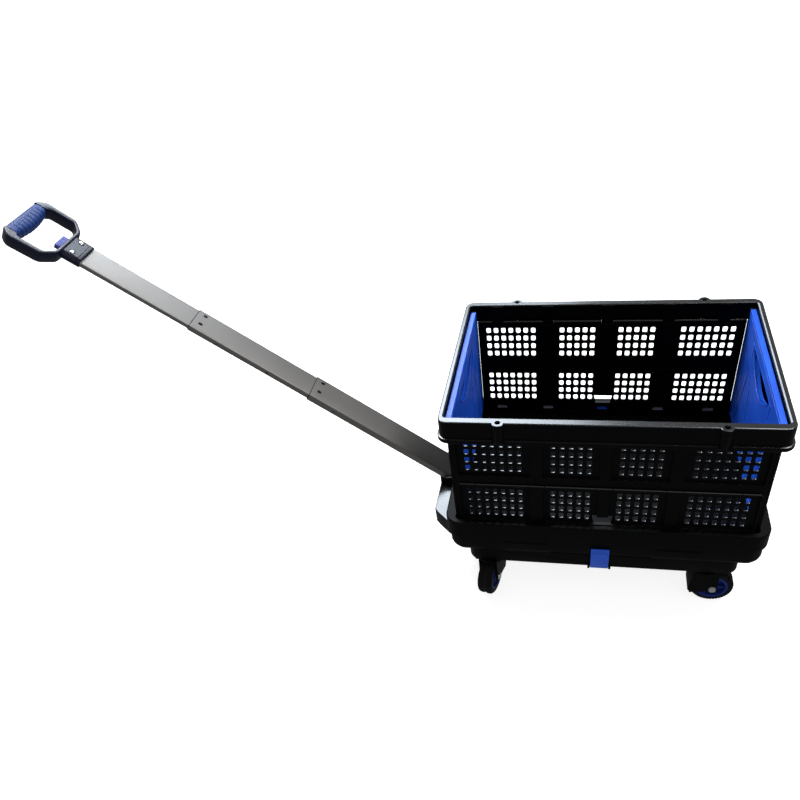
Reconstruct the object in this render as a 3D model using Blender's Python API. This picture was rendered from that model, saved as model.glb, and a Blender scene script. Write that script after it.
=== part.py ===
"""Folding crate on a dolly with a telescopic pull handle.

Metres, +Z up. The origin is the middle of the crate's load floor, +X points away from the
handle and the front long side faces -Y. Each piece hangs under an empty on its joint's axis.
"""

import math

import bmesh
import bpy
from mathutils import Matrix, Vector

MM = 0.001
GAP = 0.3 * MM  # between pieces that touch
RUNNING = 0.3 * MM  # round a pin in its hole

# Crate as a whole
FRAME_LENGTH = 520 * MM
FRAME_WIDTH = 360 * MM
CRATE_DEPTH = 253 * MM  # load floor to the frame's top

# Top frame
FRAME_CORNER = 16 * MM
FRAME_END_RAIL = 9.1 * MM  # width of the rail above an end wall
FRAME_SIDE_RAIL = 13.6 * MM
OPENING_LENGTH = FRAME_LENGTH - 2 * FRAME_END_RAIL
OPENING_WIDTH = FRAME_WIDTH - 2 * FRAME_SIDE_RAIL
OPENING_CORNER = 5 * MM
FRAME_PLATE = 3 * MM
FRAME_WALL = 2.5 * MM
FRAME_EDGE = 1.5 * MM
SKIRT_DEPTH = 40 * MM
LIP_DEPTH = 28 * MM
LIP_WALL = 2 * MM
BEAD_HEIGHT = 8 * MM
BEAD_OUT = 3.5 * MM
BEAD_SLOPE = 2 * MM
BOSS_FROM_END = 95 * MM
BOSS_INSET = 2.5 * MM
BOSS_RADIUS = 10 * MM
BOSS_POST = 6 * MM
BOSS_HOLE = 3.6 * MM
BOSS_DEPTH = 24 * MM

# End walls
WALL_CLEAR = 1.3 * MM  # to the frame's opening, lengthways
WALL_SIDE_CLEAR = 2.5 * MM  # to the frame's opening, crossways
WALL_BELOW_RIM = 9 * MM
WALL_DEPTH = 9.1 * MM
WALL_AXIS_IN = 6 * MM  # axis inside the outer face
WALL_AXIS_Z = 3.9 * MM
WALL_KNUCKLE = 3.1 * MM
WALL_OUTER = OPENING_LENGTH / 2 - WALL_CLEAR
WALL_INNER = WALL_OUTER - WALL_DEPTH
WALL_HALF_WIDTH = OPENING_WIDTH / 2 - WALL_SIDE_CLEAR
WALL_TOP = CRATE_DEPTH - WALL_BELOW_RIM
WALL_AXIS_X = WALL_OUTER - WALL_AXIS_IN
LINER_THICK = 2.7 * MM
LINER_FOOT = 16 * MM
LINER_INSET = 1 * MM
SHELL_WEB = 2.2 * MM
WALL_BORDER = 12 * MM
WALL_RIB = 5 * MM
WALL_RIB_SHARE = 0.5  # place of the upright ribs between middle and edge
WALL_RIB_Z = 128 * MM
WALL_LUG_SHARE = 0.671
WALL_LUG_WIDTH = 14 * MM
WALL_LUG_NOTCH = 6 * MM
HAND_HALF = 72 * MM
HAND_BELOW_TOP = 25 * MM
HAND_TOP = WALL_TOP - HAND_BELOW_TOP
HAND_DROP = 38 * MM
HAND_STEP = 6 * MM  # straight part at the hole's ends
HAND_COLLAR = 2.2 * MM
HAND_BAND = 12 * MM  # thick band of the shell under the hole

# Long sides, two halves each
SIDE_CLEAR = 0.7 * MM  # to the end walls' edges
SIDE_END_CLEAR = 0.8 * MM  # to the end walls' inner faces
SIDE_THICK = 7 * MM
SIDE_INNER = WALL_HALF_WIDTH + SIDE_CLEAR
SIDE_OUTER = SIDE_INNER + SIDE_THICK
SIDE_HALF_LENGTH = WALL_INNER - SIDE_END_CLEAR
SIDE_WEB = 2.6 * MM  # thickness of the grille
FOOT_AXIS_Z = 14 * MM
HEAD_BELOW_RIM = 36.4 * MM
HEAD_AXIS_Z = CRATE_DEPTH - HEAD_BELOW_RIM
HALF_GAP = 0.6 * MM  # between the two halves at mid height
MID_AXIS_OUT = 0.4 * MM  # mid axis outside the outer face
MID_KNUCKLE = 2.8 * MM
KNUCKLE_SIDE_GAP = 1.2 * MM
KNUCKLE_END = 4.2 * MM  # from the last knuckle to the side's end
KNUCKLE_MIDDLE = 13 * MM
KNUCKLE_SHARES = (0.3963, 0.5069, 0.8678)  # of the half length
ROD_RADIUS = 1.3 * MM
HALF_HEIGHT = (HEAD_AXIS_Z - FOOT_AXIS_Z) / 2
FOLD_AXIS_Y = SIDE_OUTER - SIDE_THICK / 2
MID_AXIS_Y = SIDE_OUTER + MID_AXIS_OUT
MID_AXIS_Z = FOOT_AXIS_Z + HALF_HEIGHT

# Grille windows: an inner and an outer one on each side of the middle post
HOLE_X = 10.2 * MM
HOLE_Z = 13.4 * MM
HOLE_COLUMNS = (5, 7)
HOLE_ROWS = 4
FIELD_MARGIN_X = 11 * MM
FIELD_MARGIN_Z = 7.5 * MM
MIDDLE_POST = 18.6 * MM
SIDE_POST = 21.5 * MM
END_POST = 3.7 * MM
HOLES_BELOW_HEAD = 16.6 * MM  # middle of the upper half's top row
HOLES_ABOVE_MID = 33.4 * MM
HOLES_BELOW_MID = 18.8 * MM
POSTS_AND_MARGINS = MIDDLE_POST / 2 + SIDE_POST + END_POST + 2 * (HOLE_X + 2 * FIELD_MARGIN_X)
HOLE_PITCH_X = (SIDE_HALF_LENGTH - POSTS_AND_MARGINS) / (sum(HOLE_COLUMNS) - 2)
HOLE_PITCH_Z = (HALF_HEIGHT - HOLES_BELOW_HEAD - HOLES_ABOVE_MID) / (HOLE_ROWS - 1)

# Hinge lugs on the tray and the frame
LUG_SHARES = (0.0, 0.4485, 0.8406)  # of the side's half length
LUG_WIDTH = 17 * MM
LUG_SIDE_GAP = 2.2 * MM
LUG_RADIUS = 3.2 * MM
LUG_ROOT = 6 * MM  # below the axis, into the tray
NOTCH_ABOVE_AXIS = 8 * MM
FINGER_NOTCH_WIDTH = 32 * MM
FINGER_NOTCH_HEIGHT = 18 * MM
FINGER_NOTCH_Z = 40 * MM

# Tray
RIM_OUT_X = 9 * MM  # beyond the top frame
RIM_OUT_Y = 2 * MM
RIM_LENGTH = FRAME_LENGTH + 2 * RIM_OUT_X
RIM_WIDTH = FRAME_WIDTH + 2 * RIM_OUT_Y
RIM_CORNER = 28 * MM
RIM_TOP = 29.4 * MM
RIM_FOOT = -7 * MM
RIM_EDGE = 1.5 * MM
TRAY_IN_X = 4 * MM  # body inside the rim
TRAY_IN_Y = 3.5 * MM
TRAY_LENGTH = RIM_LENGTH - 2 * TRAY_IN_X
TRAY_WIDTH = RIM_WIDTH - 2 * TRAY_IN_Y
TRAY_CORNER = 26 * MM
TRAY_FOOT = -47.3 * MM
TRAY_WALL = 3 * MM
TRAY_FLOOR = 3 * MM
TRAY_ROUNDING = ((0.0, 16 * MM, 12 * MM, 16 * MM), (4 * MM, 6 * MM, 4 * MM, 22 * MM))
TRAY_STRAIGHT = 15 * MM  # height at which the rounded bottom edge ends
LEDGE_Z = 9.8 * MM
POCKET_CLEAR_X = 1.4 * MM  # to the end walls
POCKET_CLEAR_Y = 0.8 * MM  # to the long sides
WELL_CLEAR = 0.4 * MM
POCKET_LENGTH = 2 * (WALL_OUTER + POCKET_CLEAR_X)
POCKET_WIDTH = 2 * (SIDE_OUTER + POCKET_CLEAR_Y)
WELL_WIDTH = 2 * (WALL_HALF_WIDTH + WELL_CLEAR)
FLOOR_GUTTER = 0.6 * MM  # round the raised load floor
FLOOR_BORDER = (21 * MM, 14.3 * MM)
FLOOR_PAD = (POCKET_LENGTH - 2 * FLOOR_BORDER[0], WELL_WIDTH - 2 * FLOOR_BORDER[1])
TRAY_RIB = 2.4 * MM
TRAY_RIB_SHARE = 0.415  # place of the cross ribs between middle and end

# Chassis
CHASSIS_IN_X = 32 * MM  # inside the tray's body
CHASSIS_IN_Y = 8.5 * MM
CHASSIS_DEPTH = 32.2 * MM
CHASSIS_LENGTH = TRAY_LENGTH - 2 * CHASSIS_IN_X
CHASSIS_WIDTH = TRAY_WIDTH - 2 * CHASSIS_IN_Y
CHASSIS_CORNER = 20 * MM
CHASSIS_BEVEL = 5 * MM
CHASSIS_FOOT = TRAY_FOOT - CHASSIS_DEPTH
CHASSIS_TOP = TRAY_FOOT - GAP
CHASSIS_WALL = 4 * MM
CHASSIS_DECK = 3 * MM
TOWER_X = 54 * MM
TOWER_Y = 40 * MM

# Casters
CASTER_FROM_END = 49 * MM
CASTER_FROM_HANDLE_END = 38 * MM
CASTER_FROM_SIDE = 21 * MM
CASTER_Y = CHASSIS_WIDTH / 2 - CASTER_FROM_SIDE
TRAIL = 14 * MM
WHEEL_RADIUS = 37 * MM
WHEEL_CLEAR = 0.8 * MM  # under the kingpin's head
TYRE_WIDTH = 28 * MM
TYRE_DEPTH = 9 * MM
TYRE_BORE = WHEEL_RADIUS - TYRE_DEPTH
HUB_BORE = 4.4 * MM
HUB_BOSS = (12 * MM, 9 * MM)  # half width, radius
HUB_DISC = (7 * MM, 6 * MM)  # half width, inside the tyre's bore
AXLE_RADIUS = 4 * MM
AXLE_HEAD = (7 * MM, 2.2 * MM)  # radius, thickness
PLATE_THICK = 2 * MM
PLATE_HALF = (24 * MM, 18 * MM)
KINGPIN_RADIUS = 4 * MM
KINGPIN_HEAD = (6.5 * MM, 2 * MM)  # radius, thickness
CROWN_RADIUS = 24 * MM
CROWN_THICK = 5 * MM
CHEEK_GAP = 1 * MM
CHEEK_THICK = 3 * MM
CHEEK_DROP = 1.4 * MM  # below the crown's top
HOOD_CLEAR = 2 * MM
HOOD_THICK = 2.4 * MM
CROWN_TOP = CHASSIS_FOOT - GAP - PLATE_THICK - GAP
KINGPIN_FOOT = CROWN_TOP - CROWN_THICK - GAP - KINGPIN_HEAD[1]
WHEEL_Z = KINGPIN_FOOT - WHEEL_CLEAR - WHEEL_RADIUS

# Latches
LATCH_WIDTH = 31 * MM
LATCH_THICK = 3.5 * MM
LATCH_CLEAR = 0.4 * MM  # to the tray's side
LATCH_BELOW_RIM = 14 * MM
LATCH_TOP = RIM_FOOT - LATCH_BELOW_RIM
LATCH_FACE = TRAY_WIDTH / 2 + LATCH_CLEAR + LATCH_THICK
LATCH_BEND_DROP = 3.7 * MM
LATCH_BEND_Z = TRAY_FOOT - LATCH_BEND_DROP
LATCH_AXIS_OUT = 2 * MM  # outside the chassis
LATCH_AXIS_RISE = 2.5 * MM  # above the chassis's foot
LATCH_AXIS_Y = CHASSIS_WIDTH / 2 + LATCH_AXIS_OUT
LATCH_AXIS_Z = CHASSIS_FOOT + LATCH_AXIS_RISE
LATCH_BARREL = 2.5 * MM
LATCH_PIN_RADIUS = 1.2 * MM
LATCH_HOOK = 3 * MM
LATCH_HOOK_DROP = (7 * MM, 3 * MM)
LATCH_HOOK_Z = tuple(LATCH_TOP - drop for drop in LATCH_HOOK_DROP)
LATCH_SLOT_CLEAR = (1 * MM, 1.5 * MM)  # under and over the hook
LATCH_EAR_THICK = 4 * MM
LATCH_RECESS_HALF = 86 * MM
LATCH_RECESS_RISE = 9 * MM

# Handle housing
HOUSING_CLEAR = 0.6 * MM  # to the tray's rim
HOUSING_INNER = -(RIM_LENGTH / 2 + HOUSING_CLEAR)
HOUSING_SHOULDER = HOUSING_INNER - 26.4 * MM
HOUSING_OUTER = HOUSING_INNER - 34.4 * MM
HOUSING_BELOW_RIM = 13 * MM
HOUSING_DEPTH = 34 * MM
HOUSING_TOP = RIM_FOOT - HOUSING_BELOW_RIM
HOUSING_FOOT = HOUSING_TOP - HOUSING_DEPTH
HOUSING_HALF_INNER = 138 * MM
HOUSING_HALF_SHOULDER = 112 * MM
HOUSING_HALF_OUTER = 102 * MM
HOUSING_EDGE = 3 * MM
HOUSING_WALL = 5 * MM
HOUSING_SIDE_WALL = 6 * MM
HOUSING_BACK = 9 * MM
HOUSING_ROOF = 13 * MM
TONGUE_HALF = 60 * MM
TONGUE_ABOVE_FOOT = 13 * MM
WEDGE_LENGTH = 7 * MM
WEDGE_CLEAR = 0.4 * MM  # under the resting tube
TAIL_SLOT_DEPTH = 9 * MM
TAIL_SLOT_CLEAR = 1.5 * MM
TAIL_SLOT_REACH = 14.6 * MM  # from the pivot
EAR_THICK = 6 * MM
EAR_REACH = 12.5 * MM
EAR_HEIGHT = 18 * MM
EAR_BACK = 1.4 * MM
EAR_SIDE = 0.2 * MM  # outside the tail slot

# Handle: lengths along it are from the pivot
PIVOT_OUT = 12.3 * MM
PIVOT_UP = 7.2 * MM
PIVOT = Vector((HOUSING_INNER - PIVOT_OUT, 0, HOUSING_TOP + PIVOT_UP))
HANDLE_ANGLE = 38.04
PIVOT_PIN_RADIUS = 3.5 * MM
PIVOT_HEAD = (5.5 * MM, 2 * MM)  # radius, thickness
TUBE_CLEAR = 0.3 * MM  # each tube in the next larger one


def inner_section(section, wall):
    """Width, thickness and wall of the tube that slides in the given one."""
    shrink = 2 * (section[2] + TUBE_CLEAR)
    return (section[0] - shrink, section[1] - shrink, wall)


OUTER_TUBE = (57 * MM, 15 * MM, 1.3 * MM)  # width, thickness, wall
MIDDLE_TUBE = inner_section(OUTER_TUBE, 1.2 * MM)
INNER_TUBE = inner_section(MIDDLE_TUBE, 1.1 * MM)
TAIL_SLOT_HALF = OUTER_TUBE[0] / 2 + TAIL_SLOT_CLEAR
TUBE_CORNER = 2.5 * MM
OUTER_START = -9 * MM
OUTER_END = 317.1 * MM
MIDDLE_END = 556.5 * MM
MIDDLE_OVERLAP = 65.1 * MM
INNER_OVERLAP = 64.5 * MM
FOOT_LENGTH = 22 * MM
PLUG_LENGTH = 22 * MM
SLOT_BACK = 14 * MM  # stamped slots behind a tube's end
SLOT_SHARES = (-0.31, 0.15)  # of the tube's width
SLOT_SIZE = (4.5 * MM, 6 * MM)
LOCK_SPACING = 101 * MM  # between the middle tube's two stops
LOCK_PIN_RADIUS = 2 * MM
LOCK_PIN_LENGTH = 14 * MM

# Grip
NECK_START = 756 * MM
NECK_WALL = 2 * MM
NECK_THICK = 18 * MM
NECK_CHAMFER = 5.5 * MM
NECK_REACH = 25 * MM  # inner tube inside the neck
RING_START = 787 * MM
RING_SHOULDER = 807 * MM
GRIP_END = 871 * MM
GRIP_HALF_WIDTH = 60 * MM
GRIP_THICK = 22 * MM
GRIP_CHAMFER = 13 * MM
GRIP_EDGE = 2 * MM
OPENING_EDGE = 6 * MM
BRIDGE_BAR = 6.8 * MM
BRIDGE_HALF = 37 * MM
SIDE_BAR = 9.5 * MM
FAR_BAR = 18 * MM
SLEEVE_LENGTH = 90 * MM
SLEEVE_CORE = (10 * MM, 11 * MM)  # along and across the ring's plane
SLEEVE_CORE_CORNER = 3 * MM
SLEEVE_WALL = 5 * MM
RIVET_FROM_START = 19 * MM
RIVET_SPACING = 31 * MM
RIVET_RADIUS = 2.4 * MM
RIVET_HEAD = (4 * MM, 1.2 * MM)  # radius, thickness
BUTTON_WIDTH = 31 * MM
BUTTON_THICK = 8.8 * MM
BUTTON_PROUD = 12 * MM  # beyond the bridge
BUTTON_LENGTH = 19.5 * MM
BUTTON_CLEAR = 0.4 * MM
BUTTON_TRAVEL = 4 * MM
PULL_ROD = (6 * MM, 2 * MM)  # width, thickness

# Colours, roughness and metallic value
FINISHES = {
    "black_plastic": ((0.018, 0.019, 0.022), 0.42, 0.0),
    "blue_plastic": ((0.03, 0.11, 0.52), 0.38, 0.0),
    "navy_plastic": ((0.022, 0.024, 0.04), 0.5, 0.0),
    "aluminium": ((0.55, 0.54, 0.55), 0.36, 1.0),
    "steel": ((0.56, 0.57, 0.58), 0.3, 1.0),
    "tyre": ((0.014, 0.014, 0.015), 0.8, 0.0),
}


# Scene and materials


def clear_scene():
    for old in list(bpy.data.objects):
        bpy.data.objects.remove(old, do_unlink=True)


def material(name):
    found = bpy.data.materials.get(name)
    if found:
        return found
    color, roughness, metallic = FINISHES[name]
    made = bpy.data.materials.new(name)
    made.use_nodes = True
    shader = made.node_tree.nodes["Principled BSDF"]
    shader.inputs["Base Color"].default_value = (*color, 1.0)
    shader.inputs["Roughness"].default_value = roughness
    shader.inputs["Metallic"].default_value = metallic
    made.diffuse_color = (*color, 1.0)
    return made


def axis_empty(name, place):
    empty = bpy.data.objects.new(name, None)
    empty.location = place
    empty.empty_display_size = 0.02
    bpy.context.scene.collection.objects.link(empty)
    return empty


# Solids: each function returns a mesh datablock in world coordinates


def to_mesh(bm, name="piece"):
    bmesh.ops.recalc_face_normals(bm, faces=bm.faces)
    mesh = bpy.data.meshes.new(name)
    bm.to_mesh(mesh)
    bm.free()
    return mesh


def loft(loops):
    """Closed solid through loops of equally many points, capped at both ends."""
    bm = bmesh.new()
    rings = [[bm.verts.new(point) for point in loop] for loop in loops]
    for low, high in zip(rings, rings[1:]):
        for i in range(len(low)):
            j = (i + 1) % len(low)
            bm.faces.new((low[i], low[j], high[j], high[i]))
    bm.faces.new(list(reversed(rings[0])))
    bm.faces.new(rings[-1])
    return to_mesh(bm)


def loop_through(loops):
    """Ring-shaped solid: its skin runs through the loops and back to the first."""
    bm = bmesh.new()
    rings = [[bm.verts.new(point) for point in loop] for loop in loops]
    for low, high in zip(rings, rings[1:] + rings[:1]):
        for i in range(len(low)):
            j = (i + 1) % len(low)
            bm.faces.new((low[i], low[j], high[j], high[i]))
    return to_mesh(bm)


def prism(outline, axis, low, high):
    """Extrudes a closed outline of the two other coordinates along the axis 'x', 'y' or 'z'."""
    return loft([[lift(point, axis, level) for point in outline] for level in (low, high)])


def ring_prism(outer, inner, axis, low, high):
    """Prism with a bore; both outlines have equally many points."""
    ends = ((outer, low), (outer, high), (inner, high), (inner, low))
    return loop_through([[lift(point, axis, level) for point in line] for line, level in ends])


def lift(point, axis, level):
    a, b = point
    return {"x": (level, a, b), "y": (a, level, b), "z": (a, b, level)}[axis]


def box(low, high):
    (x0, y0, z0), (x1, y1, z1) = low, high
    return prism([(x0, y0), (x1, y0), (x1, y1), (x0, y1)], "z", z0, z1)


def rounded(half_x, half_y, radius, steps=3, centre=(0.0, 0.0)):
    """Outline of a rectangle with round corners."""
    points = []
    for quarter, (sx, sy) in enumerate(((1, 1), (-1, 1), (-1, -1), (1, -1))):
        cx, cy = centre[0] + sx * (half_x - radius), centre[1] + sy * (half_y - radius)
        for step in range(steps + 1):
            turn = math.radians(90 * (quarter + step / steps))
            points.append((cx + radius * math.cos(turn), cy + radius * math.sin(turn)))
    return points


def circle(centre, radius, sides=12, start=0.0):
    return [
        (
            centre[0] + radius * math.cos(start + 2 * math.pi * i / sides),
            centre[1] + radius * math.sin(start + 2 * math.pi * i / sides),
        )
        for i in range(sides)
    ]


def voxels(xs, ys, zs, filled):
    """Solid of the grid cells for which filled(x, y, z) of the cell's middle is true."""
    nx, ny, nz = len(xs) - 1, len(ys) - 1, len(zs) - 1

    def middle(values, i):
        return (values[i] + values[i + 1]) / 2

    solid = {
        (i, j, k)
        for i in range(nx)
        for j in range(ny)
        for k in range(nz)
        if filled(middle(xs, i), middle(ys, j), middle(zs, k))
    }
    bm = bmesh.new()
    made = {}

    def vert(i, j, k):
        if (i, j, k) not in made:
            made[i, j, k] = bm.verts.new((xs[i], ys[j], zs[k]))
        return made[i, j, k]

    corners = {
        (-1, 0, 0): ((0, 0, 0), (0, 0, 1), (0, 1, 1), (0, 1, 0)),
        (1, 0, 0): ((1, 0, 0), (1, 1, 0), (1, 1, 1), (1, 0, 1)),
        (0, -1, 0): ((0, 0, 0), (1, 0, 0), (1, 0, 1), (0, 0, 1)),
        (0, 1, 0): ((0, 1, 0), (0, 1, 1), (1, 1, 1), (1, 1, 0)),
        (0, 0, -1): ((0, 0, 0), (0, 1, 0), (1, 1, 0), (1, 0, 0)),
        (0, 0, 1): ((0, 0, 1), (1, 0, 1), (1, 1, 1), (0, 1, 1)),
    }
    for i, j, k in sorted(solid):
        for (di, dj, dk), offsets in corners.items():
            if (i + di, j + dj, k + dk) not in solid:
                bm.faces.new([vert(i + a, j + b, k + c) for a, b, c in offsets])
    bmesh.ops.dissolve_limit(
        bm, angle_limit=math.radians(1), verts=bm.verts, edges=bm.edges
    )
    return to_mesh(bm)


def levels(*values):
    """Sorted grid levels without repeats."""
    kept = []
    for value in sorted(values):
        if not kept or value - kept[-1] > 1e-7:
            kept.append(value)
    return kept


# Joining, cutting and placing


def boolean(first, others, operation):
    """First mesh joined with, or cut by, the others."""
    base = bpy.data.objects.new("base", first)
    bpy.context.scene.collection.objects.link(base)
    helpers = []
    for other in others:
        helper = bpy.data.objects.new("helper", other)
        bpy.context.scene.collection.objects.link(helper)
        modifier = base.modifiers.new("step", "BOOLEAN")
        modifier.operation = operation
        modifier.object = helper
        helpers.append(helper)
    bpy.context.view_layer.update()
    graph = bpy.context.evaluated_depsgraph_get()
    result = bpy.data.meshes.new_from_object(base.evaluated_get(graph))
    for used in [base, *helpers]:
        mesh = used.data
        bpy.data.objects.remove(used)
        bpy.data.meshes.remove(mesh)
    return result


def join(first, *others):
    return boolean(first, others, "UNION")


def cut(first, *others):
    return boolean(first, others, "DIFFERENCE")


def turned(mesh, matrix):
    mesh.transform(matrix)
    if matrix.determinant() < 0:
        mesh.flip_normals()
    return mesh


def mirrored(mesh, axis):
    scale = {"x": (-1, 1, 1), "y": (1, -1, 1)}[axis]
    return turned(mesh.copy(), Matrix.Diagonal((*scale, 1)))


def place(name, mesh, finish, empty):
    """Names the piece and hangs it under its joint's empty."""
    mesh.name = name
    mesh.transform(Matrix.Translation(-empty.location))
    mesh.materials.clear()
    mesh.materials.append(material(finish))
    for face in mesh.polygons:
        face.use_smooth = True
        face.material_index = 0
    mesh.set_sharp_from_angle(angle=math.radians(35))
    piece = bpy.data.objects.new(name, mesh)
    piece.parent = empty
    bpy.context.scene.collection.objects.link(piece)
    return piece


# Hinges along X of the long sides

def all_lug_x():
    return sorted({sign * share * SIDE_HALF_LENGTH for share in LUG_SHARES for sign in (-1, 1)})


def knuckle_breaks():
    inner = [KNUCKLE_MIDDLE, *(share * SIDE_HALF_LENGTH for share in KNUCKLE_SHARES)]
    reach = [*inner, SIDE_HALF_LENGTH - KNUCKLE_END]
    return [-x for x in reversed(reach)] + reach


def rod_bore(centre, axis, low, high, radius=ROD_RADIUS):
    """Cutter for a hole that a rod runs in."""
    return prism(circle(centre, radius + RUNNING, 6), axis, low, high)


def capsule(centre, radius, reach, sides=4):
    """Half round of the radius about the centre, with straight flanks that reach up or down."""
    cy, cz = centre
    side = 1 if reach > 0 else -1
    arc = [
        (
            cy - side * radius * math.cos(math.pi * i / sides),
            cz - side * radius * math.sin(math.pi * i / sides),
        )
        for i in range(sides + 1)
    ]
    return arc + [(cy + side * radius, cz + reach), (cy - side * radius, cz + reach)]


def rod(centre, radius, axis, low, high, sides=8):
    return prism(circle(centre, radius, sides, math.pi / sides), axis, low, high)


def stretches(breaks, half_length, gap):
    """The stretches between notches of the given centres, inside plus or minus half_length."""
    edges = [-half_length]
    for centre in breaks:
        edges += [centre - gap, centre + gap]
    edges.append(half_length)
    return list(zip(edges[::2], edges[1::2]))


# Long sides


def grille_windows():
    """Low edge, high edge and hole columns of each window along X."""
    windows = []
    edge = MIDDLE_POST / 2
    for count in HOLE_COLUMNS:
        reach = HOLE_PITCH_X * (count - 1) / 2 + HOLE_X / 2 + FIELD_MARGIN_X
        middle = edge + reach
        for sign in (-1, 1):
            columns = [sign * middle + HOLE_PITCH_X * (i - (count - 1) / 2) for i in range(count)]
            windows.append((sign * middle - reach, sign * middle + reach, columns))
        edge = middle + reach + SIDE_POST
    return windows


def side_half(upper):
    """Half of the rear long side, standing: slotted fields, hinge edges and knuckles."""
    foot = MID_AXIS_Z + HALF_GAP / 2 if upper else FOOT_AXIS_Z + SIDE_THICK / 2
    head = HEAD_AXIS_Z - SIDE_THICK / 2 if upper else MID_AXIS_Z - HALF_GAP / 2
    web = SIDE_INNER + SIDE_WEB
    relief = MID_KNUCKLE + MID_AXIS_OUT
    relief_y = SIDE_OUTER - relief
    relief_z = (foot, foot + relief) if upper else (head - relief, head)
    top_row = HEAD_AXIS_Z - HOLES_BELOW_HEAD if upper else MID_AXIS_Z - HOLES_BELOW_MID
    slot_z = (
        top_row - HOLE_PITCH_Z * (HOLE_ROWS - 1) - HOLE_Z / 2,
        top_row + HOLE_Z / 2,
    )
    field_z = (slot_z[0] - FIELD_MARGIN_Z, slot_z[1] + FIELD_MARGIN_Z)
    windows = grille_windows()
    notch_half = LUG_WIDTH / 2 + LUG_SIDE_GAP
    notch_edge = HEAD_AXIS_Z - NOTCH_ABOVE_AXIS if upper else FOOT_AXIS_Z + NOTCH_ABOVE_AXIS
    finger_z = [FINGER_NOTCH_Z + sign * FINGER_NOTCH_HEIGHT / 2 for sign in (-1, 1)]

    def in_slot(x, z):
        across = any(abs(x - column) < HOLE_X / 2 for _, _, columns in windows for column in columns)
        return across and slot_z[0] < z < slot_z[1]

    def filled(x, y, z):
        if any(abs(x - lug) < notch_half for lug in all_lug_x()):
            if (z > notch_edge) if upper else (z < notch_edge):
                return False
        if y > relief_y and relief_z[0] < z < relief_z[1]:
            return False
        if not upper and abs(x) < FINGER_NOTCH_WIDTH / 2 and finger_z[0] < z < finger_z[1]:
            return False
        if in_slot(x, z):
            return False
        in_field = field_z[0] < z < field_z[1] and any(low < x < high for low, high, _ in windows)
        return y < web or not in_field

    xs = [-SIDE_HALF_LENGTH, SIDE_HALF_LENGTH]
    xs += [lug + sign * notch_half for lug in all_lug_x() for sign in (-1, 1)]
    xs += [sign * FINGER_NOTCH_WIDTH / 2 for sign in (-1, 1)]
    for low, high, columns in windows:
        xs += [low, high]
        xs += [column + sign * HOLE_X / 2 for column in columns for sign in (-1, 1)]
    zs = [foot, head, notch_edge, *relief_z, *field_z, *slot_z]
    if not upper:
        zs += finger_z
    body = voxels(levels(*xs), levels(SIDE_INNER, web, relief_y, SIDE_OUTER), levels(*zs), filled)
    return join(body, *hinge_edge(upper, notch_half), *mid_knuckles(upper))


def hinge_edge(upper, notch_half):
    """Round edge about the foot or head axis, bored for its rod, between the lugs."""
    centre = (FOLD_AXIS_Y, HEAD_AXIS_Z if upper else FOOT_AXIS_Z)
    reach = -1 if upper else 1
    reach *= SIDE_THICK / 2 + 0.5 * MM
    outline = capsule(centre, SIDE_THICK / 2, reach)
    return [
        cut(prism(outline, "x", low, high), rod_bore(centre, "x", low - MM, high + MM))
        for low, high in stretches(all_lug_x(), SIDE_HALF_LENGTH, notch_half)
    ]


def mid_knuckles(upper):
    """Every other knuckle belongs to the upper half."""
    centre = (MID_AXIS_Y, MID_AXIS_Z)
    side = 1 if upper else -1
    outer = circle(centre, MID_KNUCKLE, 8, math.pi / 8)
    web_y = (SIDE_OUTER - MID_KNUCKLE - 1 * MM, SIDE_OUTER)
    web_z = [MID_AXIS_Z + side * reach for reach in (1.2 * MM, MID_KNUCKLE + 2 * MM)]
    web = [(web_y[0], web_z[0]), (web_y[1], web_z[0]), (web_y[1], web_z[1]), (web_y[0], web_z[1])]
    knuckles = []
    breaks = knuckle_breaks()
    for index, (low, high) in enumerate(zip(breaks, breaks[1:])):
        if (index % 2 == 1) != upper:
            continue
        low += KNUCKLE_SIDE_GAP / 2
        high -= KNUCKLE_SIDE_GAP / 2
        knuckle = join(prism(outer, "x", low, high), prism(web, "x", low, high))
        knuckles.append(cut(knuckle, rod_bore(centre, "x", low - MM, high + MM)))
    return knuckles


def build_long_sides():
    pieces = (("lower", False, FOLD_AXIS_Y, FOOT_AXIS_Z), ("upper", True, MID_AXIS_Y, MID_AXIS_Z))
    for half, upper, axis_y, axis_z in pieces:
        rear = side_half(upper)
        front = mirrored(rear, "y")
        for side, sign, mesh in (("front", -1, front), ("rear", 1, rear)):
            empty = axis_empty(f"{side}_{half}_axis", Vector((0, sign * axis_y, axis_z)))
            place(f"{side}_{half}_panel", mesh, "black_plastic", empty)
            if upper:
                add_rod(f"{side}_mid_rod", (sign * MID_AXIS_Y, MID_AXIS_Z), empty)
            else:
                add_rod(f"{side}_foot_rod", (sign * FOLD_AXIS_Y, FOOT_AXIS_Z), empty)


def add_rod(name, centre, empty):
    place(name, rod(centre, ROD_RADIUS, "x", -SIDE_HALF_LENGTH, SIDE_HALF_LENGTH), "steel", empty)


# Top frame


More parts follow.
